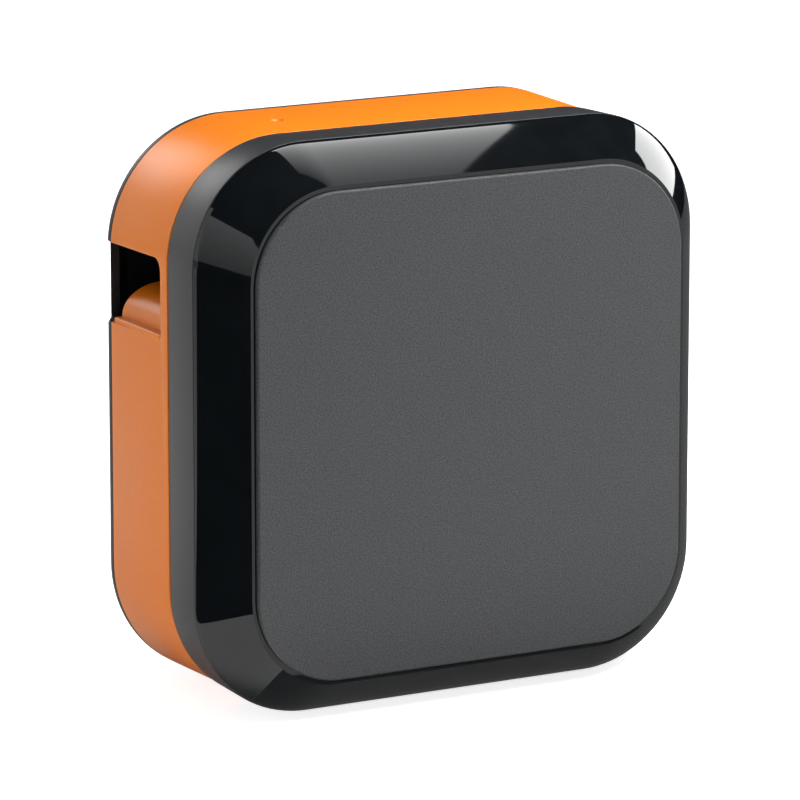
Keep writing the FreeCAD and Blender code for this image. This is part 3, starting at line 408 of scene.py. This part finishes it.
# %% Cut the tape window
WINDOW_Y, WINDOW_Z0, WINDOW_Z1 = -4.0, 85.3, 103.6


def window_tool(rear):
    """The window's shape as a block across the wall, its front corners rounded."""
    tool = block((-67, -57), (WINDOW_Y, rear), (WINDOW_Z0, WINDOW_Z1))
    bpy.ops.object.mode_set(mode="EDIT")
    for height, radius in ((WINDOW_Z1, 2.8), (WINDOW_Z0, 1.3)):
        bpy.ops.mesh.select_mode(type="EDGE")
        bpy.ops.mesh.select_all(action="DESELECT")
        bm = bmesh.from_edit_mesh(tool.data)
        for edge in bm.edges:
            edge.select = all(
                abs(v.co.y / MM - WINDOW_Y) < 0.01 and abs(v.co.z / MM - height) < 0.01 for v in edge.verts)
        bmesh.update_edit_mesh(tool.data)
        bpy.ops.mesh.bevel(offset=radius * MM, segments=6, affect="EDGES")
    leave_edit()
    return tool


cut(band, [window_tool(RIM_Y + 2)])


def window_rim(p):
    near = WINDOW_Y - 0.5 < p.y < RIM_Y - 0.3 and WINDOW_Z0 - 0.5 < p.z < WINDOW_Z1 + 0.5
    return near and p.x < -HALF + 0.9


print("window edges softened", soften(band, window_rim, 0.45))

# %% Cut the control openings
CONTROL_Y, POWER_Z, FEED_Z = 6.0, 92.0, 74.0
POWER_R, FEED_R, FEED_STRAIGHT = 4.5, 4.5, 3.5
LIGHT_Z = (58.0, 53.0, 48.0)
USB_Z = 30.0
HINGE_X, HINGE_Y = 61.8, 19.0
HINGE_LUGS = ((32.0, 42.0), (88.0, 98.0))


def oblong(radius, low, high):
    """A round bar across X whose upper and lower halves are moved apart."""
    piece = bar((CONTROL_Y, FEED_Z), radius, low, high, "x", 50)
    bpy.ops.object.mode_set(mode="EDIT")
    bpy.ops.mesh.select_mode(type="VERT")
    for side in (-1, 1):
        bpy.ops.mesh.select_all(action="DESELECT")
        bm = bmesh.from_edit_mesh(piece.data)
        for vert in bm.verts:
            vert.select = (vert.co.z / MM - FEED_Z) * side > 0
        bm.select_flush(True)
        bmesh.update_edit_mesh(piece.data)
        bpy.ops.transform.translate(value=(0, 0, side * FEED_STRAIGHT * MM))
    leave_edit()
    return piece


tools = [bar((CONTROL_Y, POWER_Z), POWER_R + 0.15, 58, 66, "x", 64), oblong(FEED_R + 0.15, 58, 66)]
tools += [bar((CONTROL_Y, z), 1.25, 58, 66, "x", 32) for z in LIGHT_Z]
tools.append(block((58, 66), (CONTROL_Y - 1.7, CONTROL_Y + 1.7), (USB_Z - 4.6, USB_Z + 4.6), 1.5, "x", 6))
tools.append(bar((HINGE_X, HINGE_Y), 2.5, 10, 118, "z", 48))
tools += [bar((side * 34, 13), 4.05, -1, 1.65, "z", 48) for side in (-1, 1)]
cut(band, tools)


def control_rim(p):
    return p.x > HALF - 0.9 and p.y < 12 and 20 < p.z < 100


print("control edges softened", soften(band, control_rim, 0.3))
half_at_dimple = HALF - 0.6 * (RIM_Y - 5.9) / (RIM_Y - BAND_FRONT_Y)
leave_edit()
bpy.ops.object.select_all(action="DESELECT")
bpy.ops.mesh.primitive_uv_sphere_add(
    segments=32, ring_count=16, radius=1.75 * MM,
    location=Vector((-28.3, 5.9, MID_Z + half_at_dimple + TALLER + 0.75)) * MM)
bpy.ops.object.transform_apply(location=True, rotation=True, scale=True)
cut(band, [bpy.context.object])

# %% Add the band's inner lugs
LUG_X, LUG_DZ = 42.0, 55.0
lugs = []
for side in (-1, 1):
    for level in (-1, 1):
        z = MID_Z + level * LUG_DZ
        low, high = (0, z + 4) if level < 0 else (z - 4, 2 * MID_Z)
        lug = block((side * LUG_X - 4, side * LUG_X + 4), (-4.4, 0.5), (low, high), 0.6)
        inside_skin = loft("inside_skin", [
            (HALF - 1.6, FRONT_CORNER - 1, BAND_FRONT_Y), (HALF - 1.2, FRONT_CORNER - 1, RIM_Y)])
        cut(lug, [inside_skin], "INTERSECT")
        cut(lug, [bar((side * LUG_X, z), 1.4, -6, 2, "y", 32)])
        lugs.append(lug)
lugs.append(block((-62.5, -60.9), (13.5, 18.5), (MID_Z - 8, MID_Z + 8), 0.4))
for z0, z1 in HINGE_LUGS:
    knuckle = bar((HINGE_X, HINGE_Y), 2.0, z0, z1, "z", 40)
    foot = block((HINGE_X - 2.0, HINGE_X + 0.7), (13, HINGE_Y), (z0, z1))
    knuckle = cut(knuckle, [foot], "UNION")
    cut(knuckle, [bar((HINGE_X, HINGE_Y), 0.9, z0 - 1, z1 + 1, "z", 24)])
    lugs.append(knuckle)
cut(band, lugs, "UNION")
finish_piece(band, "side_band_wall", "root", ["side_band"])

# %% [markdown]
# ## The exit ramp
# Behind the window's sill the label slides over a hump. A thin upright strip is
# spun a quarter turn about an axis along the tape's width, then pressed down to
# its real height: one smooth surface, with no seam where the tape runs.

# %% Model the ramp
ramp_low, ramp_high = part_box("exit_ramp")
RAMP_FOOT = 86.5
leave_edit()
bpy.ops.object.select_all(action="DESELECT")
RAMP_X0, RAMP_X1 = ramp_low.x / MM, ramp_high.x / MM
strip = block((RAMP_X0, RAMP_X0 + 1.6), (ramp_low.y / MM, ramp_high.y / MM), (RAMP_FOOT - 1, RAMP_FOOT))
bpy.ops.object.mode_set(mode="EDIT")
bpy.ops.mesh.select_mode(type="FACE")
bpy.ops.mesh.select_all(action="DESELECT")
bm = bmesh.from_edit_mesh(strip.data)
for face in bm.faces:
    face.select = face.normal.z > 0.9
bmesh.update_edit_mesh(strip.data)
bpy.ops.mesh.spin(steps=20, angle=-math.pi / 2, center=(RAMP_X1 * MM, 0, RAMP_FOOT * MM), axis=(0, 1, 0))
bpy.ops.mesh.select_mode(type="VERT")
bpy.ops.mesh.select_all(action="DESELECT")
bm = bmesh.from_edit_mesh(strip.data)
for vert in bm.verts:
    vert.select = vert.co.z > (RAMP_FOOT + 0.001) * MM
bm.select_flush(True)
bmesh.update_edit_mesh(strip.data)
squash = (ramp_high.z / MM - RAMP_FOOT) / (RAMP_X1 - RAMP_X0)
bpy.ops.transform.resize(value=(1, 1, squash), center_override=(0, 0, RAMP_FOOT * MM))
leave_edit()
outward(strip)
sill_lip = block((-63.5, RAMP_X0 + 1), (ramp_low.y / MM + 0.1, ramp_high.y / MM - 0.1), (84.6, RAMP_FOOT), 0.5)
cut(strip, [sill_lip], "UNION")
finish_piece(strip, "exit_ramp_hump", "root", ["exit_ramp"], 50)
print("ramp", [round(v / MM, 2) for v in strip.dimensions], "wanted", [round(v / MM, 2) for v in ramp_high - ramp_low])

# %% [markdown]
# ## The back cover
# A shallow lid whose edge slopes in, so the case looks thinner from the side. It
# turns on pins along its right-hand edge, where it is trimmed to a round barrel
# that rolls past the band. It has a pane to see the tape by and a sliding catch.

# %% Model the lid
cover = loft("back_cover_lid", soften_profile([
    (52.0, CORNER - 12, BACK_Y, 0),
    (HALF - 9.0, CORNER - 9.0, BACK_Y, 1.6),
    (HALF, CORNER, RIM_END_Y, 1.2),
    (HALF, CORNER, RIM_Y, 0.25),
    (HALF - WALL, CORNER - WALL, RIM_Y + SET_BACK, 0),
    (HALF - WALL, CORNER - WALL, RIM_END_Y, 0),
    (53.8, CORNER - 10.2, BACK_Y - WALL, 0),
])[1:])
HINGE_Z0, HINGE_Z1 = 20.0, 110.0
cut(cover, [
    block((HINGE_X, 70), (10, 40), (-5, 136)),
    bar((HINGE_X, HINGE_Y), 2.05, -5, HINGE_Z0),
    bar((HINGE_X, HINGE_Y), 2.05, HINGE_Z1, 136),
])
web = block((HINGE_X - 2.0, HINGE_X), (HINGE_Y, 23.6), (HINGE_Z0, HINGE_Z1))
cut(cover, [bar((HINGE_X, HINGE_Y), 2.0, HINGE_Z0, HINGE_Z1, "z", 48), web], "UNION")
for z0, z1 in HINGE_LUGS:
    cut(cover, [bar((HINGE_X, HINGE_Y), 2.3, z0 - 0.25, z1 + 0.25), bar((HINGE_X, HINGE_Y), 0.96, z0 - 6, z1 + 6)])
cut(cover, [window_tool(24.5)])


def notch_rim(p):
    near = p.x < -HALF + 1.5 and RIM_Y + 0.3 < p.y < 25 and WINDOW_Z0 - 0.5 < p.z < WINDOW_Z1 + 0.5
    return near


print("notch edges softened", soften(cover, notch_rim, 0.4))
LATCH_X, LATCH_Z = -44.0, MID_Z
openings = [
    block((14, 46), (BACK_Y - 4, BACK_Y + 1), (68, 98), 4, "y", 8),
    block((LATCH_X - 6, LATCH_X + 9), (BACK_Y - 4, BACK_Y + 1), (LATCH_Z - 5, LATCH_Z + 5), 1.2, "y", 4),
]
cut(cover, openings)


def pane_rim(p):
    return p.y > BACK_Y - 0.1 and abs(p.x) < 52 and abs(p.z - MID_Z) < 40


print("back openings softened", soften(cover, pane_rim, 0.5))
cam_rib = block((-27, -22), (23.7, BACK_Y - 1), (84, 86), 0.4)
rails = []
for side in (-1, 1):
    z = LATCH_Z + side * 8.6
    lip_z = z - side * 2.6
    rails.append(block((LATCH_X - 3, LATCH_X + 18), (BACK_Y - 4.8, BACK_Y - 1.5), (z - 1.4, z + 1.4)))
    rails.append(block((LATCH_X - 3, LATCH_X + 18), (BACK_Y - 4.8, BACK_Y - 3.8), (lip_z - 1.4, lip_z + 1.4)))
cut(cover, [cam_rib] + rails, "UNION")
finish_piece(cover, "back_cover_lid", "cover", ["back_cover"])

# %% [markdown]
# ## Keys, catch and feet
# A key is a short bar with a soft edge and a shallow dish for the fingertip: its
# end is inset and sunk twice, so that the dish is smooth. The catch is a thumb
# pad with four raised ribs. The feet are soft discs, cupped below.

# %% Model the keys
def dish(piece, depth, steps=3):
    """Sinks the outer end of a key in a few ever smaller steps."""
    take(piece)
    bpy.ops.object.mode_set(mode="EDIT")
    bpy.ops.mesh.select_mode(type="FACE")
    bpy.ops.mesh.select_all(action="DESELECT")
    bm = bmesh.from_edit_mesh(piece.data)
    reach = max(v.co.x for v in bm.verts)
    for face in bm.faces:
        face.select = face.normal.x > 0.99 and face.calc_center_median().x > reach - 1e-5
    bmesh.update_edit_mesh(piece.data)
    for step in range(steps):
        bpy.ops.mesh.inset(thickness=0.9 * MM, depth=-depth * (steps - step) / 6 * MM)
    leave_edit()


power = bar((CONTROL_Y, POWER_Z), POWER_R, 60.0, HALF - 0.1, "x", 64)
power_flange = bar((CONTROL_Y, POWER_Z), POWER_R + 1.2, 59.2, 60.6, "x", 64)
feed = oblong(FEED_R, 60.0, HALF - 0.1)
feed_flange = oblong(FEED_R + 1.2, 59.2, 60.6)
for key, flange, name, body, node in (
        (power, power_flange, "power_key_cap", "power_key", "power_button"),
        (feed, feed_flange, "feed_key_cap", "feed_key", "feed_button")):
    soften(key, lambda p: p.x > HALF - 0.2, 0.35)
    dish(key, 0.25)
    cut(key, [flange], "UNION")
    finish_piece(key, name, body, [node])

# %% Model the catch
thumb = block((LATCH_X - 4.5, LATCH_X + 4.5), (BACK_Y - WALL - 0.8, BACK_Y - 0.5), (LATCH_Z - 4.5, LATCH_Z + 4.5), 0.9)
parts = []
for number in range(4):
    x = LATCH_X - 3.3 + 2 * number
    parts.append(block((x, x + 0.7), (BACK_Y - 1.2, BACK_Y - 0.05), (LATCH_Z - 3.4, LATCH_Z + 3.4), 0.25, None, 2))
slide_y = (BACK_Y - WALL - 1.6, BACK_Y - WALL - 0.1)
parts.append(block((LATCH_X - 5, LATCH_X + 12), slide_y, (LATCH_Z - 7, LATCH_Z + 7), 0.3))
parts.append(block((LATCH_X - 5, LATCH_X - 3), (15.1, slide_y[1] - 0.8), (LATCH_Z - 4, LATCH_Z + 4), 0.3))
parts.append(block((-60.6, LATCH_X - 3), (15.1, 17.1), (LATCH_Z - 4, LATCH_Z + 4), 0.3))
cut(thumb, parts, "UNION")
finish_piece(thumb, "cover_catch", "latch", ["cover_latch"])

# %% Model the feet
feet = []
for y in (-14.0, 13.0):
    for side in (-1, 1):
        foot = bar((side * 34, y), 4.0, 0, 1.55, "z", 48)
        soften(foot, lambda p: p.z < 0.1, 0.4)
        feet.append(foot)
feet = join(feet)
finish_piece(feet, "rubber_pads", "root", ["rubber_feet"])

# %% [markdown]
# ## Helpers for materials
# Colours are written as a designer writes them, in sRGB hex, and one function
# turns them to the linear values that the renderer adds up. Patterns are placed
# by object coordinates, in metres, so that a grain of a third of a millimetre
# is a scale of 3000.

# %% Colour and nodes
def linear(text):
    """Turns an sRGB hex colour to linear red, green, blue and alpha."""
    values = [int(text[n:n + 2], 16) / 255 for n in (1, 3, 5)]
    return tuple(v / 12.92 if v < 0.04045 else ((v + 0.055) / 1.055) ** 2.4 for v in values) + (1,)


def add_node(tree, kind, values=None, links=None, **settings):
    """Adds a node with its settings, its sockets' values and its links."""
    new = tree.nodes.new(kind)
    for name, value in settings.items():
        setattr(new, name, value)
    for socket, value in (values or {}).items():
        new.inputs[socket].default_value = value
    for socket, output in (links or {}).items():
        tree.links.new(output, new.inputs[socket])
    return new


def new_material(name, **sockets):
    """A material with its shader; the sockets are the same all over the surface."""
    material = bpy.data.materials.new(name)
    material.use_nodes = True
    shader = material.node_tree.nodes["Principled BSDF"]
    for socket, value in sockets.items():
        shader.inputs[socket.replace("_", " ")].default_value = value
    return material, material.node_tree, shader


def speckle(tree, shader, dark, light, grain, bump, detail=2.0):
    """Mixes two shades by a fine noise of a grain in mm, and raises the surface by it."""
    place = add_node(tree, "ShaderNodeTexCoord").outputs["Object"]
    noise = add_node(tree, "ShaderNodeTexNoise", {"Scale": 1 / (grain * MM), "Detail": detail}, {"Vector": place})
    ramp = add_node(tree, "ShaderNodeValToRGB", links={"Fac": noise.outputs["Fac"]})
    ramp.color_ramp.elements[0].position = 0.35
    ramp.color_ramp.elements[1].position = 0.65
    ramp.color_ramp.elements[0].color = linear(dark)
    ramp.color_ramp.elements[1].color = linear(light)
    tree.links.new(ramp.outputs["Color"], shader.inputs["Base Color"])
    relief = add_node(
        tree, "ShaderNodeBump", {"Strength": 1.0, "Distance": bump * MM}, {"Height": noise.outputs["Fac"]})
    tree.links.new(relief.outputs["Normal"], shader.inputs["Normal"])
    return noise, ramp


# %% [markdown]
# ## The case's finishes

# %% Spark-textured black ABS for the plate
plate_abs, tree, shader = new_material(
    "abs_spark_textured_charcoal", Roughness=0.5, IOR=1.52)
speckle(tree, shader, "#2a2b2d", "#474849", 0.36, 0.02)

# %% Polished black ABS for the bezel
gloss_abs, tree, shader = new_material("abs_polished_black", Roughness=0.035, IOR=1.5)
speckle(tree, shader, "#0b0e10", "#0e1113", 6.0, 0.0)

# %% Satin charcoal ABS for shell and cover
satin_abs, tree, shader = new_material("abs_satin_charcoal", Roughness=0.42, IOR=1.5)
speckle(tree, shader, "#242527", "#2c2d2f", 0.3, 0.004)

# %% Satin orange ABS for the band
orange_abs, tree, shader = new_material("abs_satin_orange", Roughness=0.38, IOR=1.5)
speckle(tree, shader, "#de7407", "#e67b0c", 0.3, 0.004)

# %% Everything else
key_abs, tree, shader = new_material("abs_satin_black_key", Roughness=0.35, IOR=1.5)
speckle(tree, shader, "#1d1e20", "#222325", 0.3, 0.004)
inner_abs, tree, shader = new_material("abs_moulded_black", Roughness=0.45, IOR=1.5)
speckle(tree, shader, "#141516", "#191a1b", 0.5, 0.006)
rubber, tree, shader = new_material("rubber_moulded_grey", Roughness=0.8, IOR=1.5)
speckle(tree, shader, "#26272a", "#303134", 0.5, 0.02)
steel, tree, shader = new_material("steel_nickel_plated", Metallic=1.0, Roughness=0.25)
speckle(tree, shader, "#b9b8b4", "#c6c5c1", 0.8, 0.003)
aluminium, tree, shader = new_material("aluminium_extruded", Metallic=1.0, Roughness=0.38)
speckle(tree, shader, "#b4b6b9", "#c2c4c7", 0.6, 0.004)
brass, tree, shader = new_material("brass_hobbed", Metallic=1.0, Roughness=0.28)
speckle(tree, shader, "#c9a451", "#d6b262", 0.8, 0.003)
acetal, tree, shader = new_material("acetal_moulded_white", Roughness=0.4, IOR=1.48)
speckle(tree, shader, "#dcdad2", "#e6e4dd", 0.8, 0.004)
board, tree, shader = new_material("epoxy_board_green", Roughness=0.4, IOR=1.55)
speckle(tree, shader, "#0f4a2b", "#156036", 0.7, 0.006)
chip, tree, shader = new_material("epoxy_moulded_chip", Roughness=0.55, IOR=1.55)
speckle(tree, shader, "#191a1c", "#212225", 0.3, 0.006)
label, tree, shader = new_material("polyester_label_white", Roughness=0.35, IOR=1.5)
speckle(tree, shader, "#eeeeec", "#f5f5f3", 1.5, 0.0)
spool, tree, shader = new_material("polystyrene_spool_grey", Roughness=0.42, IOR=1.55)
speckle(tree, shader, "#a9abad", "#b4b6b8", 0.8, 0.004)
clear, tree, shader = new_material("acrylic_moulded_clear", Roughness=0.04, IOR=1.49, Transmission_Weight=1.0)
speckle(tree, shader, "#f2f5f6", "#f8fafb", 3.0, 0.0)

# %% Put the finishes on
BY_SLOT = {
    "satin_case": satin_abs, "plate_case": plate_abs, "gloss_black": gloss_abs, "orange_case": orange_abs,
    "black_inner": inner_abs, "key_plastic": key_abs, "clear": clear, "feet": rubber, "steel": steel,
    "sink": aluminium, "brass_gear": brass, "gear_plastic": acetal, "board": board, "component": chip,
    "label_tape": label, "spool_plastic": spool,
}
slot_of = {entry["node"]: entry["material_slot"] for entry in frame["record"]["subparts"]}
for node_name, cad_object in frame["nodes"].items():
    finish = BY_SLOT[slot_of.get(node_name, "black_inner")]
    cad_object.data.materials.clear()
    cad_object.data.materials.append(finish)
for piece, finish in (
        (plate, plate_abs), (bezel, gloss_abs), (shell, satin_abs), (band, orange_abs), (strip, orange_abs),
        (cover, satin_abs), (power, key_abs), (feed, key_abs), (thumb, key_abs), (feet, rubber)):
    piece.data.materials.clear()
    piece.data.materials.append(finish)
print("finishes given to", len(frame["nodes"]), "nodes;", len([n for n in frame["nodes"] if n not in slot_of]), "by default")

# %% [markdown]
# ## Floor, world and light

# %% Floor and world
leave_edit()
bpy.ops.object.select_all(action="DESELECT")
bpy.ops.mesh.primitive_plane_add(size=8, location=(0, 0, 0))
floor = bpy.context.object
floor.name = "floor"
floor_paint, tree, shader = new_material("floor_matt_white_paint", Roughness=0.9)
shader.inputs["Base Color"].default_value = linear("#f2f2f2")
shader.inputs["Emission Color"].default_value = (1, 1, 1, 1)
path = add_node(tree, "ShaderNodeLightPath")
lift = add_node(tree, "ShaderNodeMath", {1: 0.8}, {0: path.outputs["Is Camera Ray"]}, operation="MULTIPLY")
tree.links.new(lift.outputs[0], shader.inputs["Emission Strength"])
floor.data.materials.append(floor_paint)

world = bpy.data.worlds.new("studio")
bpy.context.scene.world = world
world.use_nodes = True
tree = world.node_tree
tree.nodes.clear()
path = add_node(tree, "ShaderNodeLightPath")
seen = add_node(tree, "ShaderNodeMath", links={0: path.outputs["Is Camera Ray"], 1: path.outputs["Is Glossy Ray"]}, operation="MAXIMUM")
seen = add_node(tree, "ShaderNodeMath", links={0: seen.outputs[0], 1: path.outputs["Is Transmission Ray"]}, operation="MAXIMUM")
strength = add_node(tree, "ShaderNodeMapRange", {"To Min": 0.35, "To Max": 1.0}, {"Value": seen.outputs[0]})
glow = add_node(tree, "ShaderNodeBackground", {"Color": (1, 1, 1, 1)}, {"Strength": strength.outputs[0]})
add_node(tree, "ShaderNodeOutputWorld", links={"Surface": glow.outputs[0]})


# %% Lights and cards
def soft_light(name, place, aim, size, watts):
    """A rectangular soft light that points at a spot and shows in no reflection."""
    data = bpy.data.lights.new(name, "AREA")
    data.shape = "RECTANGLE"
    data.size, data.size_y = size
    data.energy = watts
    lamp = bpy.data.objects.new(name, data)
    lamp.location = place
    lamp.rotation_euler = (Vector(aim) - Vector(place)).to_track_quat("-Z", "Y").to_euler()
    lamp.visible_camera = False
    lamp.visible_glossy = False
    bpy.context.scene.collection.objects.link(lamp)
    return lamp


def card(name, corners, near, far, fade=(0, 1)):
    """A card seen only in reflections, from its four corners; its glow fades along one axis."""
    leave_edit()
    bpy.ops.object.select_all(action="DESELECT")
    bpy.ops.mesh.primitive_plane_add(size=1)
    panel = bpy.context.object
    panel.name = name
    for vert, corner in zip((0, 1, 3, 2), corners):
        panel.data.vertices[vert].co = corner
    panel.visible_camera = False
    panel.visible_diffuse = False
    panel.visible_transmission = False
    panel.visible_shadow = False
    paint = bpy.data.materials.new(name)
    paint.use_nodes = True
    tree = paint.node_tree
    tree.nodes.clear()
    place = add_node(tree, "ShaderNodeTexCoord").outputs["Object"]
    along = add_node(tree, "ShaderNodeSeparateXYZ", links={0: place})
    reach = [corner[fade[0]] for corner in corners]
    glow = add_node(
        tree, "ShaderNodeMapRange",
        {"From Min": min(reach), "From Max": max(reach), "To Min": near, "To Max": far},
        {"Value": along.outputs[fade[0]]})
    shine = add_node(tree, "ShaderNodeEmission", links={"Strength": glow.outputs[0]})
    add_node(tree, "ShaderNodeOutputMaterial", links={"Surface": shine.outputs[0]})
    panel.data.materials.append(paint)


def level_card(name, x, y, z, near, far, axis=0):
    """A level card between pairs of x and y, at one height."""
    card(name, [(x[0], y[0], z), (x[1], y[0], z), (x[1], y[1], z), (x[0], y[1], z)], near, far, (axis, 1))


def upright_card(name, start, end, z, near, far, axis=2):
    """An upright card over a line on the floor, between two heights."""
    card(name, [(*start, z[0]), (*end, z[0]), (*end, z[1]), (*start, z[1])], near, far, (axis, 1))


soft_light("lamp_overhead", (0.10, 0.05, 0.90), (0, 0, 0.06), (0.8, 0.6), 3.9)
soft_light("lamp_plate", (0.16, -0.26, 0.42), (0.03, -0.03, 0.11), (0.20, 0.16), 2.8)
soft_light("lamp_left", (-0.90, 0.10, 0.30), (0, 0, 0.06), (0.6, 0.6), 1.2)
soft_light("lamp_front", (-0.40, -1.20, 0.30), (0, 0, 0.06), (0.8, 0.6), 1.0)

card("card_top", [(0.05, -0.14, 0.7), (0.315, -0.14, 0.7), (0.37, 0.21, 0.7), (0.02, 0.21, 0.7)], 0.5, 7.0, (1, 1))
level_card("card_edge", (0.2, 0.7), (-0.40, -0.17), 0.7, 12.0, 12.0)
upright_card("card_corner", (-0.42, 0.9), (-0.02, 0.9), (0.40, 0.85), 5.0, 5.0)
upright_card("card_right", (0.62, 0.04), (0.78, 0.40), (0.16, 0.50), 5.0, 8.0)
upright_card("card_left", (-0.70, -0.44), (-0.70, 0.0), (0.10, 0.52), 0.5, 1.2)
level_card("flag_top", (-1.2, 1.2), (-1.2, 1.2), 1.0, 0.0, 0.0)
upright_card("flag_front", (-1.2, -1.1), (1.2, -1.1), (0, 1), 0.0, 0.0)
upright_card("flag_right", (1.1, -1.2), (1.1, 1.2), (0, 1), 0.0, 0.0)
upright_card("flag_back", (-0.25, 1.1), (1.2, 1.1), (0, 1), 0.0, 0.0)
upright_card("flag_left", (-1.1, -1.1), (-1.1, 0), (0, 1), 0.0, 0.0)
level_card("flag_floor_front", (-0.11, 1.11), (-1.13, -0.07), 0.001, 1.0, 1.0)
level_card("flag_floor_left", (-1.11, -0.11), (-1.13, 0.05), 0.001, 0.0, 0.0)
level_card("flag_floor_right", (-0.05, 1.10), (-0.07, 1.05), 0.001, 0.15, 0.15)

# %% [markdown]
# ## Finish
# %% Picture settings
bpy.context.scene.view_settings.view_transform = "Standard"
